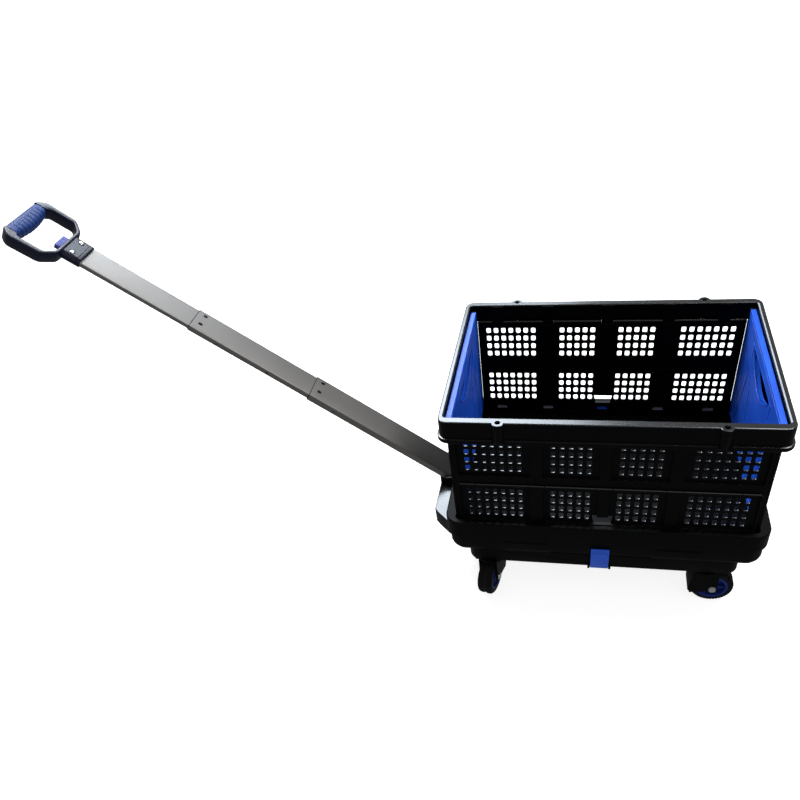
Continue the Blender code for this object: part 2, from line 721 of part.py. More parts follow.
def build_frame(empty):
    top = CRATE_DEPTH
    foot = top - SKIRT_DEPTH
    half_x, half_y = FRAME_LENGTH / 2, FRAME_WIDTH / 2

    def outline(grow):
        return rounded(half_x + grow, half_y + grow, FRAME_CORNER + grow, 4)

    def at(points, z):
        return [(x, y, z) for x, y in points]

    body = loft(
        [
            at(outline(BEAD_OUT - 0.5 * MM), foot),
            at(outline(BEAD_OUT), foot + BEAD_SLOPE),
            at(outline(BEAD_OUT), foot + BEAD_HEIGHT - BEAD_SLOPE),
            at(outline(0.8 * MM), foot + BEAD_HEIGHT),
            at(outline(0), top - FRAME_EDGE),
            at(outline(-1.2 * MM), top),
        ]
    )
    body = join(body, *boss_columns(BOSS_RADIUS, top - BOSS_DEPTH, top, 12))
    opening = rounded(OPENING_LENGTH / 2, OPENING_WIDTH / 2, OPENING_CORNER)
    body = cut(body, prism(opening, "z", foot - MM, top + MM))
    body = cut(body, frame_groove(foot, top))
    body = cut(body, *boss_columns(BOSS_HOLE, foot - MM, top + MM))
    body = join(body, *frame_lugs())
    reach = half_x - FRAME_WALL
    bores = [rod_bore((side * FOLD_AXIS_Y, HEAD_AXIS_Z), "x", -reach, reach) for side in (-1, 1)]
    place("top_frame", cut(body, *bores), "black_plastic", empty)
    for side, sign in (("front", -1), ("rear", 1)):
        add_rod(f"{side}_head_rod", (sign * FOLD_AXIS_Y, HEAD_AXIS_Z), empty)


def boss_columns(radius, low, high, sides=10):
    """Round columns at the four bosses on the frame's long rails."""
    return [
        prism(circle((x, y), radius, sides), "z", low, high)
        for x in (BOSS_FROM_END - FRAME_LENGTH / 2, FRAME_LENGTH / 2 - BOSS_FROM_END)
        for y in (BOSS_INSET - FRAME_WIDTH / 2, FRAME_WIDTH / 2 - BOSS_INSET)
    ]


def frame_groove(foot, top):
    """Hollow between the skirt and the inner lip, left solid round the bosses' holes."""
    outer = rounded(
        FRAME_LENGTH / 2 - FRAME_WALL, FRAME_WIDTH / 2 - FRAME_WALL, FRAME_CORNER - FRAME_WALL, 4
    )
    lip = rounded(
        OPENING_LENGTH / 2 + LIP_WALL, OPENING_WIDTH / 2 + LIP_WALL, OPENING_CORNER + LIP_WALL, 4
    )
    lip_foot = top - LIP_DEPTH
    below = prism(outer, "z", foot - MM, lip_foot)
    around = ring_prism(outer, lip, "z", lip_foot - 0.5 * MM, top - FRAME_PLATE)
    return cut(join(around, below), *boss_columns(BOSS_POST, top - BOSS_DEPTH, top))


def frame_lugs():
    lugs = []
    for side in (-1, 1):
        height = CRATE_DEPTH - FRAME_PLATE / 2 - HEAD_AXIS_Z
        outline = capsule((side * FOLD_AXIS_Y, HEAD_AXIS_Z), LUG_RADIUS, height)
        for x in all_lug_x():
            lugs.append(prism(outline, "x", x - LUG_WIDTH / 2, x + LUG_WIDTH / 2))
    return lugs


# End walls


def hand_hole(grow):
    """Straight top edge and a curved lower edge."""
    half, top, drop = HAND_HALF + grow, HAND_TOP + grow, HAND_DROP + 2 * grow
    steps = 12
    shoulder = top - HAND_STEP
    curve = [
        (
            -half + 2 * half * i / steps,
            shoulder - (drop - HAND_STEP) * math.sin(math.pi * i / steps) ** 0.8,
        )
        for i in range(1, steps)
    ]
    return [(half, top), (-half, top), (-half, shoulder), *curve, (half, shoulder)]


def wall_lug_y():
    reach = WALL_LUG_SHARE * WALL_HALF_WIDTH
    return (-reach, 0.0, reach)


def wall_shell():
    """Black outer shell of the right-hand end wall with ribs outside and its foot knuckles."""
    inner = WALL_INNER + LINER_THICK + GAP
    web = inner + SHELL_WEB
    top = WALL_TOP - LINER_THICK - GAP
    foot = WALL_AXIS_Z + WALL_KNUCKLE
    half = WALL_HALF_WIDTH
    ribs = [share * half for share in (-WALL_RIB_SHARE, 0.0, WALL_RIB_SHARE)]
    notch = WALL_LUG_WIDTH / 2 + LUG_SIDE_GAP
    hand_band = HAND_TOP - HAND_DROP - HAND_BAND

    def filled(x, y, z):
        framed = abs(y) > half - WALL_BORDER or z > hand_band or z < foot + WALL_BORDER
        ribbed = any(abs(y - rib) < WALL_RIB / 2 for rib in ribs) or abs(z - WALL_RIB_Z) < WALL_RIB / 2
        if z < foot + WALL_LUG_NOTCH and any(abs(y - lug) < notch for lug in wall_lug_y()):
            return False
        return x < web or framed or ribbed

    ys = [-half, half, -half + WALL_BORDER, half - WALL_BORDER]
    ys += [rib + sign * WALL_RIB / 2 for rib in ribs for sign in (-1, 1)]
    ys += [lug + sign * notch for lug in wall_lug_y() for sign in (-1, 1)]
    zs = [foot, foot + WALL_LUG_NOTCH, foot + WALL_BORDER, hand_band, top]
    zs += [WALL_RIB_Z - WALL_RIB / 2, WALL_RIB_Z + WALL_RIB / 2]
    body = voxels(levels(inner, web, WALL_OUTER), levels(*ys), levels(*zs), filled)
    knuckles = []
    for low, high in stretches(wall_lug_y(), half, notch):
        strip = capsule((WALL_AXIS_X, WALL_AXIS_Z), WALL_KNUCKLE, 9 * MM)
        block = [
            (WALL_AXIS_X, WALL_AXIS_Z - WALL_KNUCKLE),
            (WALL_OUTER - 3 * MM, WALL_AXIS_Z - WALL_KNUCKLE),
            (WALL_OUTER, WALL_AXIS_Z),
            (WALL_OUTER, foot + 2 * MM),
            (WALL_AXIS_X, foot + 2 * MM),
        ]
        bore = rod_bore((WALL_AXIS_X, WALL_AXIS_Z), "y", low - MM, high + MM)
        piece = join(prism(strip, "y", low, high), prism(block, "y", low, high))
        knuckles.append(cut(piece, bore))
    body = join(body, *knuckles)
    hole = prism(hand_hole(HAND_COLLAR + GAP), "x", inner - MM, WALL_OUTER + MM)
    return cut(body, hole)


def wall_liner():
    """Blue inner liner with a top flange and a collar round the hand hole."""
    face = WALL_INNER
    back = face + LINER_THICK
    half = WALL_HALF_WIDTH - LINER_INSET
    outline = [
        (face, LINER_FOOT),
        (back, LINER_FOOT),
        (back, WALL_TOP - LINER_THICK),
        (WALL_OUTER, WALL_TOP - LINER_THICK),
        (WALL_OUTER, WALL_TOP),
        (face, WALL_TOP),
    ]
    body = prism(outline, "y", -half, half)
    collar = prism(hand_hole(HAND_COLLAR), "x", face + 1 * MM, WALL_OUTER - 0.4 * MM)
    return cut(join(body, collar), prism(hand_hole(0), "x", face - MM, WALL_OUTER + MM))


def build_end_walls():
    shell, liner = wall_shell(), wall_liner()
    for side, sign in (("left", -1), ("right", 1)):
        empty = axis_empty(f"{side}_wall_axis", Vector((sign * WALL_AXIS_X, 0, WALL_AXIS_Z)))
        meshes = (shell, liner) if sign > 0 else (mirrored(shell, "x"), mirrored(liner, "x"))
        if sign > 0:
            meshes = tuple(mesh.copy() for mesh in meshes)
        place(f"{side}_wall_shell", meshes[0], "black_plastic", empty)
        place(f"{side}_wall_liner", meshes[1], "blue_plastic", empty)
        half = WALL_HALF_WIDTH - LINER_INSET / 2
        pin = rod((sign * WALL_AXIS_X, WALL_AXIS_Z), ROD_RADIUS, "y", -half, half)
        place(f"{side}_wall_rod", pin, "steel", empty)


# Tray


def tray_plan(inset_x, inset_y, radius, z):
    """Outline of the tray's body drawn in by the insets, at the height."""
    outline = rounded(TRAY_LENGTH / 2 - inset_x, TRAY_WIDTH / 2 - inset_y, radius)
    return [(x, y, z) for x, y in outline]


def tray_hull():
    """Outer form: rounded bottom edge, body and the wider rim."""
    loops = [tray_plan(in_x, in_y, corner, TRAY_FOOT + up) for up, in_x, in_y, corner in TRAY_ROUNDING]
    loops.append(tray_plan(0, 0, TRAY_CORNER, TRAY_FOOT + TRAY_STRAIGHT))
    loops.append(tray_plan(0, 0, TRAY_CORNER, RIM_FOOT - 1 * MM))
    rim_levels = (
        (0.0, RIM_FOOT + 2 * MM),
        (0.0, RIM_TOP - 2 * MM),
        (RIM_EDGE, RIM_TOP),
    )
    for inset, z in rim_levels:
        outline = rounded(RIM_LENGTH / 2 - inset, RIM_WIDTH / 2 - inset, RIM_CORNER - inset)
        loops.append([(x, y, z) for x, y in outline])
    return loft(loops)


def tray_underside():
    """Hollow of the body from below, one wall inside the hull."""
    wall = TRAY_WALL
    _, in_x, in_y, corner = TRAY_ROUNDING[0]
    mouth = (in_x + wall, in_y + wall, corner - wall)
    return loft(
        [
            tray_plan(*mouth, TRAY_FOOT - MM),
            tray_plan(*mouth, TRAY_FOOT + 4 * MM),
            tray_plan(wall, wall, TRAY_CORNER - wall, TRAY_FOOT + TRAY_STRAIGHT + 1 * MM),
            tray_plan(wall, wall, TRAY_CORNER - wall, RIM_FOOT - wall),
        ]
    )


def build_tray(empty):
    wall = TRAY_WALL
    pocket_x, well_y = POCKET_LENGTH / 2, WELL_WIDTH / 2
    well = rounded(pocket_x, well_y, 2 * MM)
    body = cut(
        tray_hull(),
        prism(rounded(pocket_x, POCKET_WIDTH / 2, 8 * MM), "z", LEDGE_Z, RIM_TOP + MM),
        prism(well, "z", 0.0, LEDGE_Z + MM),
        ring_prism(well, rounded(FLOOR_PAD[0] / 2, FLOOR_PAD[1] / 2, 8 * MM), "z", -FLOOR_GUTTER, MM),
        tray_underside(),
        prism(
            rounded(pocket_x - wall - 1 * MM, well_y - wall - 1 * MM, 4 * MM),
            "z",
            RIM_FOOT - 2 * wall,
            -TRAY_FLOOR,
        ),
        ring_prism(
            rounded(RIM_LENGTH / 2 - wall, RIM_WIDTH / 2 - wall, RIM_CORNER - wall),
            rounded(pocket_x + wall, well_y + wall, 5 * MM),
            "z",
            RIM_FOOT - wall - 0.5 * MM,
            LEDGE_Z - wall,
        ),
    )
    reach = TRAY_WIDTH / 2 - 2 * MM
    ribs = []
    for share in (-TRAY_RIB_SHARE, TRAY_RIB_SHARE):
        x = share * TRAY_LENGTH / 2
        rib = box((x - TRAY_RIB / 2, -reach, TRAY_FOOT), (x + TRAY_RIB / 2, reach, -TRAY_FLOOR + 1 * MM))
        ribs.append(cut(rib, outside_of_tray()))
    body = join(body, *ribs, *tray_lugs())
    reach = SIDE_HALF_LENGTH + SIDE_END_CLEAR
    cuts = [latch_recess(side) for side in (-1, 1)] + [latch_slot(side) for side in (-1, 1)]
    for side in (-1, 1):
        cuts.append(rod_bore((side * FOLD_AXIS_Y, FOOT_AXIS_Z), "x", -reach, reach))
        cuts.append(
            rod_bore((side * WALL_AXIS_X, WALL_AXIS_Z), "y", -WALL_HALF_WIDTH, WALL_HALF_WIDTH)
        )
    place("tray", cut(body, *cuts), "black_plastic", empty)


def outside_of_tray():
    """What lies under the tray's rounded bottom edge, to trim the ribs' ends."""
    _, in_x, in_y, corner = TRAY_ROUNDING[0]
    outer = rounded(RIM_LENGTH / 2, RIM_WIDTH / 2, TRAY_CORNER)
    inner = rounded(TRAY_LENGTH / 2 - in_x - 1 * MM, TRAY_WIDTH / 2 - in_y - 1 * MM, corner - 1 * MM)
    return ring_prism(outer, inner, "z", TRAY_FOOT - MM, TRAY_FOOT + TRAY_STRAIGHT - TRAY_WALL)


def latch_recess(side):
    """Raised bottom edge round the latch, for the fingers."""
    low, high = sorted((side * (TRAY_WIDTH / 2 - 20 * MM), side * (TRAY_WIDTH / 2 + 5 * MM)))
    return box(
        (-LATCH_RECESS_HALF, low, TRAY_FOOT - MM),
        (LATCH_RECESS_HALF, high, TRAY_FOOT + LATCH_RECESS_RISE),
    )


def latch_slot(side):
    """Slot in the tray's side that the latch hooks into."""
    half = LATCH_WIDTH / 2 + 2 * GAP
    hook_low, hook_high = LATCH_HOOK_Z
    under, over = LATCH_SLOT_CLEAR
    low, high = sorted((side * (TRAY_WIDTH / 2 - 2 * TRAY_WALL), side * (TRAY_WIDTH / 2 + MM)))
    return box((-half, low, hook_low - under), (half, high, hook_high + over))


def tray_lugs():
    lugs = []
    for side in (-1, 1):
        outline = capsule((side * FOLD_AXIS_Y, FOOT_AXIS_Z), LUG_RADIUS, -LUG_ROOT)
        for x in all_lug_x():
            lugs.append(prism(outline, "x", x - LUG_WIDTH / 2, x + LUG_WIDTH / 2))
        outline = capsule((side * WALL_AXIS_X, WALL_AXIS_Z), WALL_KNUCKLE - 0.2 * MM, -LUG_ROOT)
        for y in wall_lug_y():
            lugs.append(prism(outline, "y", y - WALL_LUG_WIDTH / 2, y + WALL_LUG_WIDTH / 2))
    return lugs


# Chassis, latches and handle housing


def build_chassis(empty):
    half_x, half_y = CHASSIS_LENGTH / 2, CHASSIS_WIDTH / 2
    wall, bevel = CHASSIS_WALL, CHASSIS_BEVEL

    def at(inset, radius, z):
        return [(x, y, z) for x, y in rounded(half_x - inset, half_y - inset, radius)]

    body = loft(
        [
            at(bevel, CHASSIS_CORNER - bevel, CHASSIS_FOOT),
            at(0, CHASSIS_CORNER, CHASSIS_FOOT + bevel + 1 * MM),
            at(0, CHASSIS_CORNER, CHASSIS_TOP),
        ]
    )
    inset = bevel + wall
    hollow = rounded(half_x - inset, half_y - inset, CHASSIS_CORNER - inset + 1 * MM)
    body = cut(body, prism(hollow, "z", CHASSIS_FOOT - MM, CHASSIS_TOP - CHASSIS_DECK))
    added = [
        box(
            (x - TOWER_X / 2, y - TOWER_Y / 2, CHASSIS_FOOT),
            (x + TOWER_X / 2, y + TOWER_Y / 2, CHASSIS_TOP - 1 * MM),
        )
        for x, y in caster_places().values()
    ]
    reach = LATCH_BARREL + 0.2 * MM
    ear_x = LATCH_WIDTH / 2 + 2 * GAP
    bores = []
    for side in (-1, 1):
        low, high = sorted((side * (half_y - inset - 3 * MM), side * (LATCH_AXIS_Y + reach)))
        for x in (-ear_x - LATCH_EAR_THICK, ear_x):
            ear = (x + LATCH_EAR_THICK, high, LATCH_AXIS_Z + reach)
            added.append(box((x, low, LATCH_AXIS_Z - reach), ear))
        centre = (side * LATCH_AXIS_Y, LATCH_AXIS_Z)
        bores.append(
            prism(circle(centre, LATCH_PIN_RADIUS + RUNNING, 8), "x", -LATCH_WIDTH, LATCH_WIDTH)
        )
    place("chassis", cut(join(body, *added), *bores), "black_plastic", empty)


def caster_places():
    places = {}
    half = CHASSIS_LENGTH / 2
    ends = (("left", CASTER_FROM_HANDLE_END - half), ("right", half - CASTER_FROM_END))
    for end, x in ends:
        for side, sign in (("front", -1), ("rear", 1)):
            places[f"{side}_{end}"] = (x, sign * CASTER_Y)
    return places


def latch_outline():
    """Rear latch seen along X: barrel below, sloping plate, upright plate with its hook."""
    arc = [
        (
            LATCH_AXIS_Y + LATCH_BARREL * math.cos(math.radians(turn)),
            LATCH_AXIS_Z + LATCH_BARREL * math.sin(math.radians(turn)),
        )
        for turn in range(15, -211, -25)
    ]
    inner = LATCH_FACE - LATCH_THICK
    hook_low, hook_high = LATCH_HOOK_Z
    return arc + [
        (inner, LATCH_BEND_Z),
        (inner, hook_low),
        (inner - LATCH_HOOK, hook_low + 0.8 * MM),
        (inner - LATCH_HOOK, hook_high - 0.5 * MM),
        (inner, hook_high),
        (inner, LATCH_TOP - 1 * MM),
        (inner + 1 * MM, LATCH_TOP),
        (LATCH_FACE - 1 * MM, LATCH_TOP),
        (LATCH_FACE, LATCH_TOP - 1.5 * MM),
        (LATCH_FACE, LATCH_BEND_Z),
    ]


def build_latches():
    half = LATCH_WIDTH / 2
    body = prism(latch_outline(), "x", -half, half)
    bore = circle((LATCH_AXIS_Y, LATCH_AXIS_Z), LATCH_PIN_RADIUS + RUNNING, 8)
    body = cut(body, prism(bore, "x", -half - MM, half + MM))
    for side, sign, mesh in (("front", -1, mirrored(body, "y")), ("rear", 1, body)):
        empty = axis_empty(f"{side}_latch_axis", Vector((0, sign * LATCH_AXIS_Y, LATCH_AXIS_Z)))
        place(f"{side}_latch", mesh, "blue_plastic", empty)


def add_latch_pins(empty):
    reach = LATCH_WIDTH / 2 + LATCH_EAR_THICK
    for side, sign in (("front", -1), ("rear", 1)):
        centre = (sign * LATCH_AXIS_Y, LATCH_AXIS_Z)
        place(f"{side}_latch_pin", rod(centre, LATCH_PIN_RADIUS, "x", -reach, reach), "steel", empty)


def tube_underside(x):
    """Height of the resting outer tube's underside."""
    slope = math.radians(HANDLE_ANGLE)
    return PIVOT.z + (PIVOT.x - x) * math.tan(slope) - OUTER_TUBE[1] / 2 / math.cos(slope)


def build_housing(empty):
    """Housing that carries the handle's pivot, hung on the chassis by a tongue."""
    plan = [
        (HOUSING_INNER, -HOUSING_HALF_INNER),
        (HOUSING_INNER, HOUSING_HALF_INNER),
        (HOUSING_SHOULDER, HOUSING_HALF_SHOULDER),
        (HOUSING_OUTER, HOUSING_HALF_OUTER),
        (HOUSING_OUTER, -HOUSING_HALF_OUTER),
        (HOUSING_SHOULDER, -HOUSING_HALF_SHOULDER),
    ]
    edge = HOUSING_EDGE

    def at(inset, z):
        return [(x, y, z) for x, y in offset_outline(plan, -inset)]

    body = loft(
        [
            at(edge, HOUSING_FOOT),
            at(0, HOUSING_FOOT + edge),
            at(0, HOUSING_TOP - edge),
            at(edge / 2, HOUSING_TOP),
        ]
    )
    half_hollow = HOUSING_HALF_OUTER - HOUSING_SIDE_WALL
    hollow = box(
        (HOUSING_OUTER + HOUSING_WALL, -half_hollow, HOUSING_FOOT - MM),
        (HOUSING_INNER - HOUSING_BACK, half_hollow, HOUSING_TOP - HOUSING_ROOF),
    )
    body = cut(body, hollow)
    tongue = box(
        (HOUSING_INNER - HOUSING_WALL, -TONGUE_HALF, CHASSIS_FOOT + TONGUE_ABOVE_FOOT),
        (-CHASSIS_LENGTH / 2 - GAP, TONGUE_HALF, CHASSIS_TOP - 1 * MM),
    )
    half_slot = TAIL_SLOT_HALF
    wedge_inner = HOUSING_OUTER + WEDGE_LENGTH
    rest = OUTER_TUBE[0] / 2
    wedge = prism(
        [
            (HOUSING_OUTER, HOUSING_TOP - 2 * MM),
            (wedge_inner, HOUSING_TOP - 2 * MM),
            (wedge_inner, tube_underside(wedge_inner) - WEDGE_CLEAR),
            (HOUSING_OUTER, tube_underside(HOUSING_OUTER) - WEDGE_CLEAR),
        ],
        "y",
        -rest,
        rest,
    )
    ears = [
        box(
            (PIVOT.x - EAR_REACH, low, HOUSING_TOP - 4 * MM),
            (HOUSING_INNER - EAR_BACK, low + EAR_THICK, HOUSING_TOP + EAR_HEIGHT),
        )
        for low in (half_slot + EAR_SIDE, -half_slot - EAR_SIDE - EAR_THICK)
    ]
    body = join(body, tongue, wedge, *ears)
    tail_slot = box(
        (PIVOT.x - TAIL_SLOT_REACH, -half_slot, HOUSING_TOP - TAIL_SLOT_DEPTH),
        (HOUSING_INNER + MM, half_slot, HOUSING_TOP + MM),
    )
    bore = circle((PIVOT.x, PIVOT.z), PIVOT_PIN_RADIUS + RUNNING, 12)
    reach = half_slot + EAR_THICK + MM
    body = cut(body, tail_slot, prism(bore, "y", -reach, reach))
    place("handle_housing", body, "black_plastic", empty)


def offset_outline(points, distance):
    """A convex outline grown by the distance, or shrunk by a negative one."""
    middle = Vector((sum(x for x, _ in points), sum(y for _, y in points))) / len(points)
    lines = []
    for first, second in zip(points, points[1:] + points[:1]):
        start, step = Vector(first), Vector(second) - Vector(first)
        normal = Vector((step.y, -step.x)).normalized()
        if normal.dot(start - middle) < 0:
            normal.negate()
        lines.append((start + normal * distance, step))
    grown = []
    for (start, step), (next_start, next_step) in zip(lines[-1:] + lines[:-1], lines):
        across = step.x * next_step.y - step.y * next_step.x
        gap = next_start - start
        share = (gap.x * next_step.y - gap.y * next_step.x) / across
        grown.append(tuple(start + step * share))
    return grown


# Handle: modelled along +X from the pivot, then turned to its rest angle


def handle_matrix():
    turn = math.radians(HANDLE_ANGLE)
    along = (-math.cos(turn), 0, math.sin(turn))
    across = (0, -1, 0)
    normal = (math.sin(turn), 0, math.cos(turn))
    rows = [[along[i], across[i], normal[i], PIVOT[i]] for i in range(3)]
    return Matrix([*rows, [0, 0, 0, 1]])


def on_handle(distance):
    return handle_matrix() @ Vector((distance, 0, 0))


def add_to_handle(name, mesh, finish, empty):
    place(name, turned(mesh, handle_matrix()), finish, empty)


def section_outline(width, thick, corner):
    return rounded(width / 2, thick / 2, corner, 2)


def hollow_tube(section, start, end):
    width, thick, wall = section
    outer = section_outline(width, thick, TUBE_CORNER)
    inner = section_outline(width - 2 * wall, thick - 2 * wall, TUBE_CORNER - wall)
    return ring_prism(outer, inner, "x", start, end)


def tube_inside(section, start, end, clearance=GAP):
    """Solid block that fits the tube's bore."""
    width, thick, wall = section
    shrink = 2 * (wall + clearance)
    outline = section_outline(width - shrink, thick - shrink, TUBE_CORNER - wall)
    return prism(outline, "x", start, end)


def stamped_slots(section, end):
    width, thick, wall = section
    length, across = SLOT_SIZE
    cuts = []
    for share in SLOT_SHARES:
        s, t = end - SLOT_BACK, share * width
        cuts.append(
            box(
                (s - length / 2, t - across / 2, thick / 2 - wall - 0.2 * MM),
                (s + length / 2, t + across / 2, thick / 2 + MM),
            )
        )
    return cuts


def lock_holes(section, places):
    width, _, wall = section
    outline_radius = LOCK_PIN_RADIUS + RUNNING
    return [
        prism(circle((s, 0), outline_radius, 10), "y", width / 2 - wall - 0.8 * MM, width / 2 + MM)
        for s in places
    ]


def build_outer_tube(empty):
    body = hollow_tube(OUTER_TUBE, OUTER_START, OUTER_END)
    bore = circle((0, 0), PIVOT_PIN_RADIUS + RUNNING, 12)
    through = prism(bore, "y", -OUTER_TUBE[0], OUTER_TUBE[0])
    cuts = stamped_slots(OUTER_TUBE, OUTER_END) + lock_holes(OUTER_TUBE, [middle_lock()])
    add_to_handle("outer_tube", cut(body, through.copy(), *cuts), "aluminium", empty)
    start = OUTER_START + 1 * MM
    foot = cut(tube_inside(OUTER_TUBE, start, start + FOOT_LENGTH), through)
    add_to_handle("outer_tube_foot", foot, "navy_plastic", empty)


def add_pivot_pin(empty):
    reach = TAIL_SLOT_HALF + EAR_SIDE + EAR_THICK + GAP
    radius, thick = PIVOT_HEAD
    profile = [
        (-reach - thick, radius),
        (-reach, radius),
        (-reach, PIVOT_PIN_RADIUS),
        (reach, PIVOT_PIN_RADIUS),
        (reach, radius),
        (reach + thick, radius),
    ]
    place("pivot_pin", turned_rod(profile, "y", (PIVOT.x, PIVOT.z)), "steel", empty)


def middle_start():
    return OUTER_END - MIDDLE_OVERLAP


def inner_start():
    return MIDDLE_END - INNER_OVERLAP


def middle_lock():
    """Place of the middle tube's lock pin, and of the hole it snaps into."""
    return middle_start() + PLUG_LENGTH / 2


def inner_lock():
    return inner_start() + PLUG_LENGTH / 2


def build_middle_tube(empty):
    body = hollow_tube(MIDDLE_TUBE, middle_start(), MIDDLE_END)
    stops = (middle_lock(), inner_lock(), inner_lock() - LOCK_SPACING)
    holes = lock_holes(MIDDLE_TUBE, stops)
    body = cut(body, *stamped_slots(MIDDLE_TUBE, MIDDLE_END), *holes)
    add_to_handle("middle_tube", body, "aluminium", empty)
    add_plug("middle_tube", MIDDLE_TUBE, middle_start(), middle_lock(), empty)


def build_inner_tube(empty):
    body = hollow_tube(INNER_TUBE, inner_start(), NECK_START + NECK_REACH)
    body = cut(body, *lock_holes(INNER_TUBE, [inner_lock()]), *rivet_holes())
    add_to_handle("inner_tube", body, "aluminium", empty)
    add_plug("inner_tube", INNER_TUBE, inner_start(), inner_lock(), empty)


def add_plug(name, section, start, pin_s, empty):
    """Plug in the tube's lower end, with the lock pin drawn in level with the tube's side."""
    plug = tube_inside(section, start, start + PLUG_LENGTH)
    tip = section[0] / 2 - GAP
    bore = circle((pin_s, 0), LOCK_PIN_RADIUS + RUNNING, 10)
    plug = cut(plug, prism(bore, "y", tip - LOCK_PIN_LENGTH - GAP, tip + MM))
    add_to_handle(f"{name}_plug", plug, "navy_plastic", empty)
    pin = prism(circle((pin_s, 0), LOCK_PIN_RADIUS, 10), "y", tip - LOCK_PIN_LENGTH, tip)
    add_to_handle(f"{name}_lock_pin", pin, "steel", empty)


def rivet_places():
    return {
        "left_rivet": (NECK_START + RIVET_FROM_START, RIVET_SPACING / 2),
        "right_rivet": (NECK_START + RIVET_FROM_START, -RIVET_SPACING / 2),
    }


def rivet_holes():
    return [
        prism(circle(centre, RIVET_RADIUS + GAP, 10), "z", -GRIP_THICK, GRIP_THICK)
        for centre in rivet_places().values()
    ]


def pull_rod_shape(grow):
    width, thick = PULL_ROD
    start = inner_start() + PLUG_LENGTH + BUTTON_TRAVEL + 2 * GAP
    end = button_start() - GAP
    return box(
        (start - grow, -width / 2 - grow, -thick / 2 - grow),
        (end + grow, width / 2 + grow, thick / 2 + grow),
    )


def button_start():
    return RING_START + BRIDGE_BAR + BUTTON_PROUD - BUTTON_LENGTH


def ring_outline():
    half = GRIP_HALF_WIDTH
    right = [
        (RING_START, -BRIDGE_HALF),
        (RING_SHOULDER, -half + 1 * MM),
        (GRIP_END - GRIP_CHAMFER, -half),
        (GRIP_END, -half + GRIP_CHAMFER),
    ]
    return right + [(s, -t) for s, t in reversed(right)]


def opening_outline():
    half = GRIP_HALF_WIDTH - SIDE_BAR
    right = [
        (RING_START + BRIDGE_BAR, -BRIDGE_HALF + 3 * MM),
        (RING_SHOULDER, -half),
        (GRIP_END - FAR_BAR - OPENING_EDGE, -half),
        (GRIP_END - FAR_BAR, -half + OPENING_EDGE),
    ]
    return right + [(s, -t) for s, t in reversed(right)]


def chamfered(outline, half_thick, edge):
    """Plate about the handle's middle plane; a negative edge flares the ends instead."""
    levels_z = (
        (-half_thick, -edge),
        (-half_thick + abs(edge), 0),
        (half_thick - abs(edge), 0),
        (half_thick, -edge),
    )
    return loft([[(s, t, z) for s, t in offset_outline(outline, grow)] for z, grow in levels_z])


def neck_section():
    """Flat block round the inner tube with its four long edges cut off."""
    half_t, half_n = INNER_TUBE[0] / 2 + GAP + NECK_WALL, NECK_THICK / 2
    low_t, low_n = half_t - NECK_CHAMFER, half_n - NECK_CHAMFER
    quarter = [(half_t, low_n), (low_t, half_n)]
    top = quarter + [(-t, n) for t, n in reversed(quarter)]
    return top + [(-t, -n) for t, n in top]


def build_grip(empty):
    """D-shaped frame on a neck round the inner tube's end."""
    half_thick = GRIP_THICK / 2
    ring = cut(
        chamfered(ring_outline(), half_thick, GRIP_EDGE),
        chamfered(opening_outline(), half_thick, -GRIP_EDGE),
    )
    body = join(ring, prism(neck_section(), "x", NECK_START, RING_START + 3 * MM))
    tube_seat = prism(
        section_outline(INNER_TUBE[0] + 2 * GAP, INNER_TUBE[1] + 2 * GAP, TUBE_CORNER),
        "x",
        NECK_START - MM,
        NECK_START + NECK_REACH + GAP,
    )
    pocket_t = BUTTON_WIDTH / 2 + BUTTON_CLEAR
    pocket_n = BUTTON_THICK / 2 + BUTTON_CLEAR
    pocket = box(
        (button_start() - BUTTON_TRAVEL - GAP, -pocket_t, -pocket_n),
        (RING_START + BRIDGE_BAR + MM, pocket_t, pocket_n),
    )
    body = cut(body, tube_seat, pocket, pull_rod_shape(RUNNING), *rivet_holes())
    far = GRIP_END - FAR_BAR / 2
    core_s, core_n = SLEEVE_CORE
    length = SLEEVE_LENGTH / 2 + GAP

    def core(grow, steps):
        half_s, half_n = core_s / 2 + grow, core_n / 2 + grow
        return rounded(half_s, half_n, SLEEVE_CORE_CORNER + grow, steps, (far, 0))

    around = ring_prism(core(GRIP_THICK, 2), core(0, 2), "y", -length, length)
    add_to_handle("grip_frame", cut(body, around), "navy_plastic", empty)
    half = SLEEVE_LENGTH / 2
    sleeve = ring_prism(core(SLEEVE_WALL, 4), core(GAP, 4), "y", -half, half)
    add_to_handle("grip_sleeve", sleeve, "blue_plastic", empty)
    for name, centre in rivet_places().items():
        add_to_handle(name, rivet_shape(centre), "steel", empty)


def rivet_shape(centre):
    radius, thick = RIVET_HEAD
    seat = NECK_THICK / 2 + GAP
    profile = [
        (-seat - thick, radius - 1 * MM),
        (-seat, radius),
        (-seat, RIVET_RADIUS),
        (seat, RIVET_RADIUS),
        (seat, radius),
        (seat + thick, radius - 1 * MM),
    ]
    return turned_rod(profile, "z", centre)


def build_button(empty):
    start = button_start()
    body = box(
        (start, -BUTTON_WIDTH / 2, -BUTTON_THICK / 2),
        (start + BUTTON_LENGTH, BUTTON_WIDTH / 2, BUTTON_THICK / 2),
    )
    add_to_handle("release_button", body, "blue_plastic", empty)
    add_to_handle("pull_rod", pull_rod_shape(0), "steel", empty)


def turned_rod(profile, axis, centre, sides=10):
    """Closed solid of revolution from (place along the axis, radius) pairs."""
    return loft(
        [
            [lift(point, axis, level) for point in circle(centre, radius, sides)]
            for level, radius in profile
        ]
    )


def turned_ring(profile, axis, centre, sides):
    """Ring of revolution from a closed profile of (place along the axis, radius) pairs."""
    return loop_through(
        [
            [lift(point, axis, level) for point in circle(centre, radius, sides)]
            for level, radius in profile
        ]
    )


# Casters: modelled with the kingpin at x = y = 0 and the wheel trailing to +X

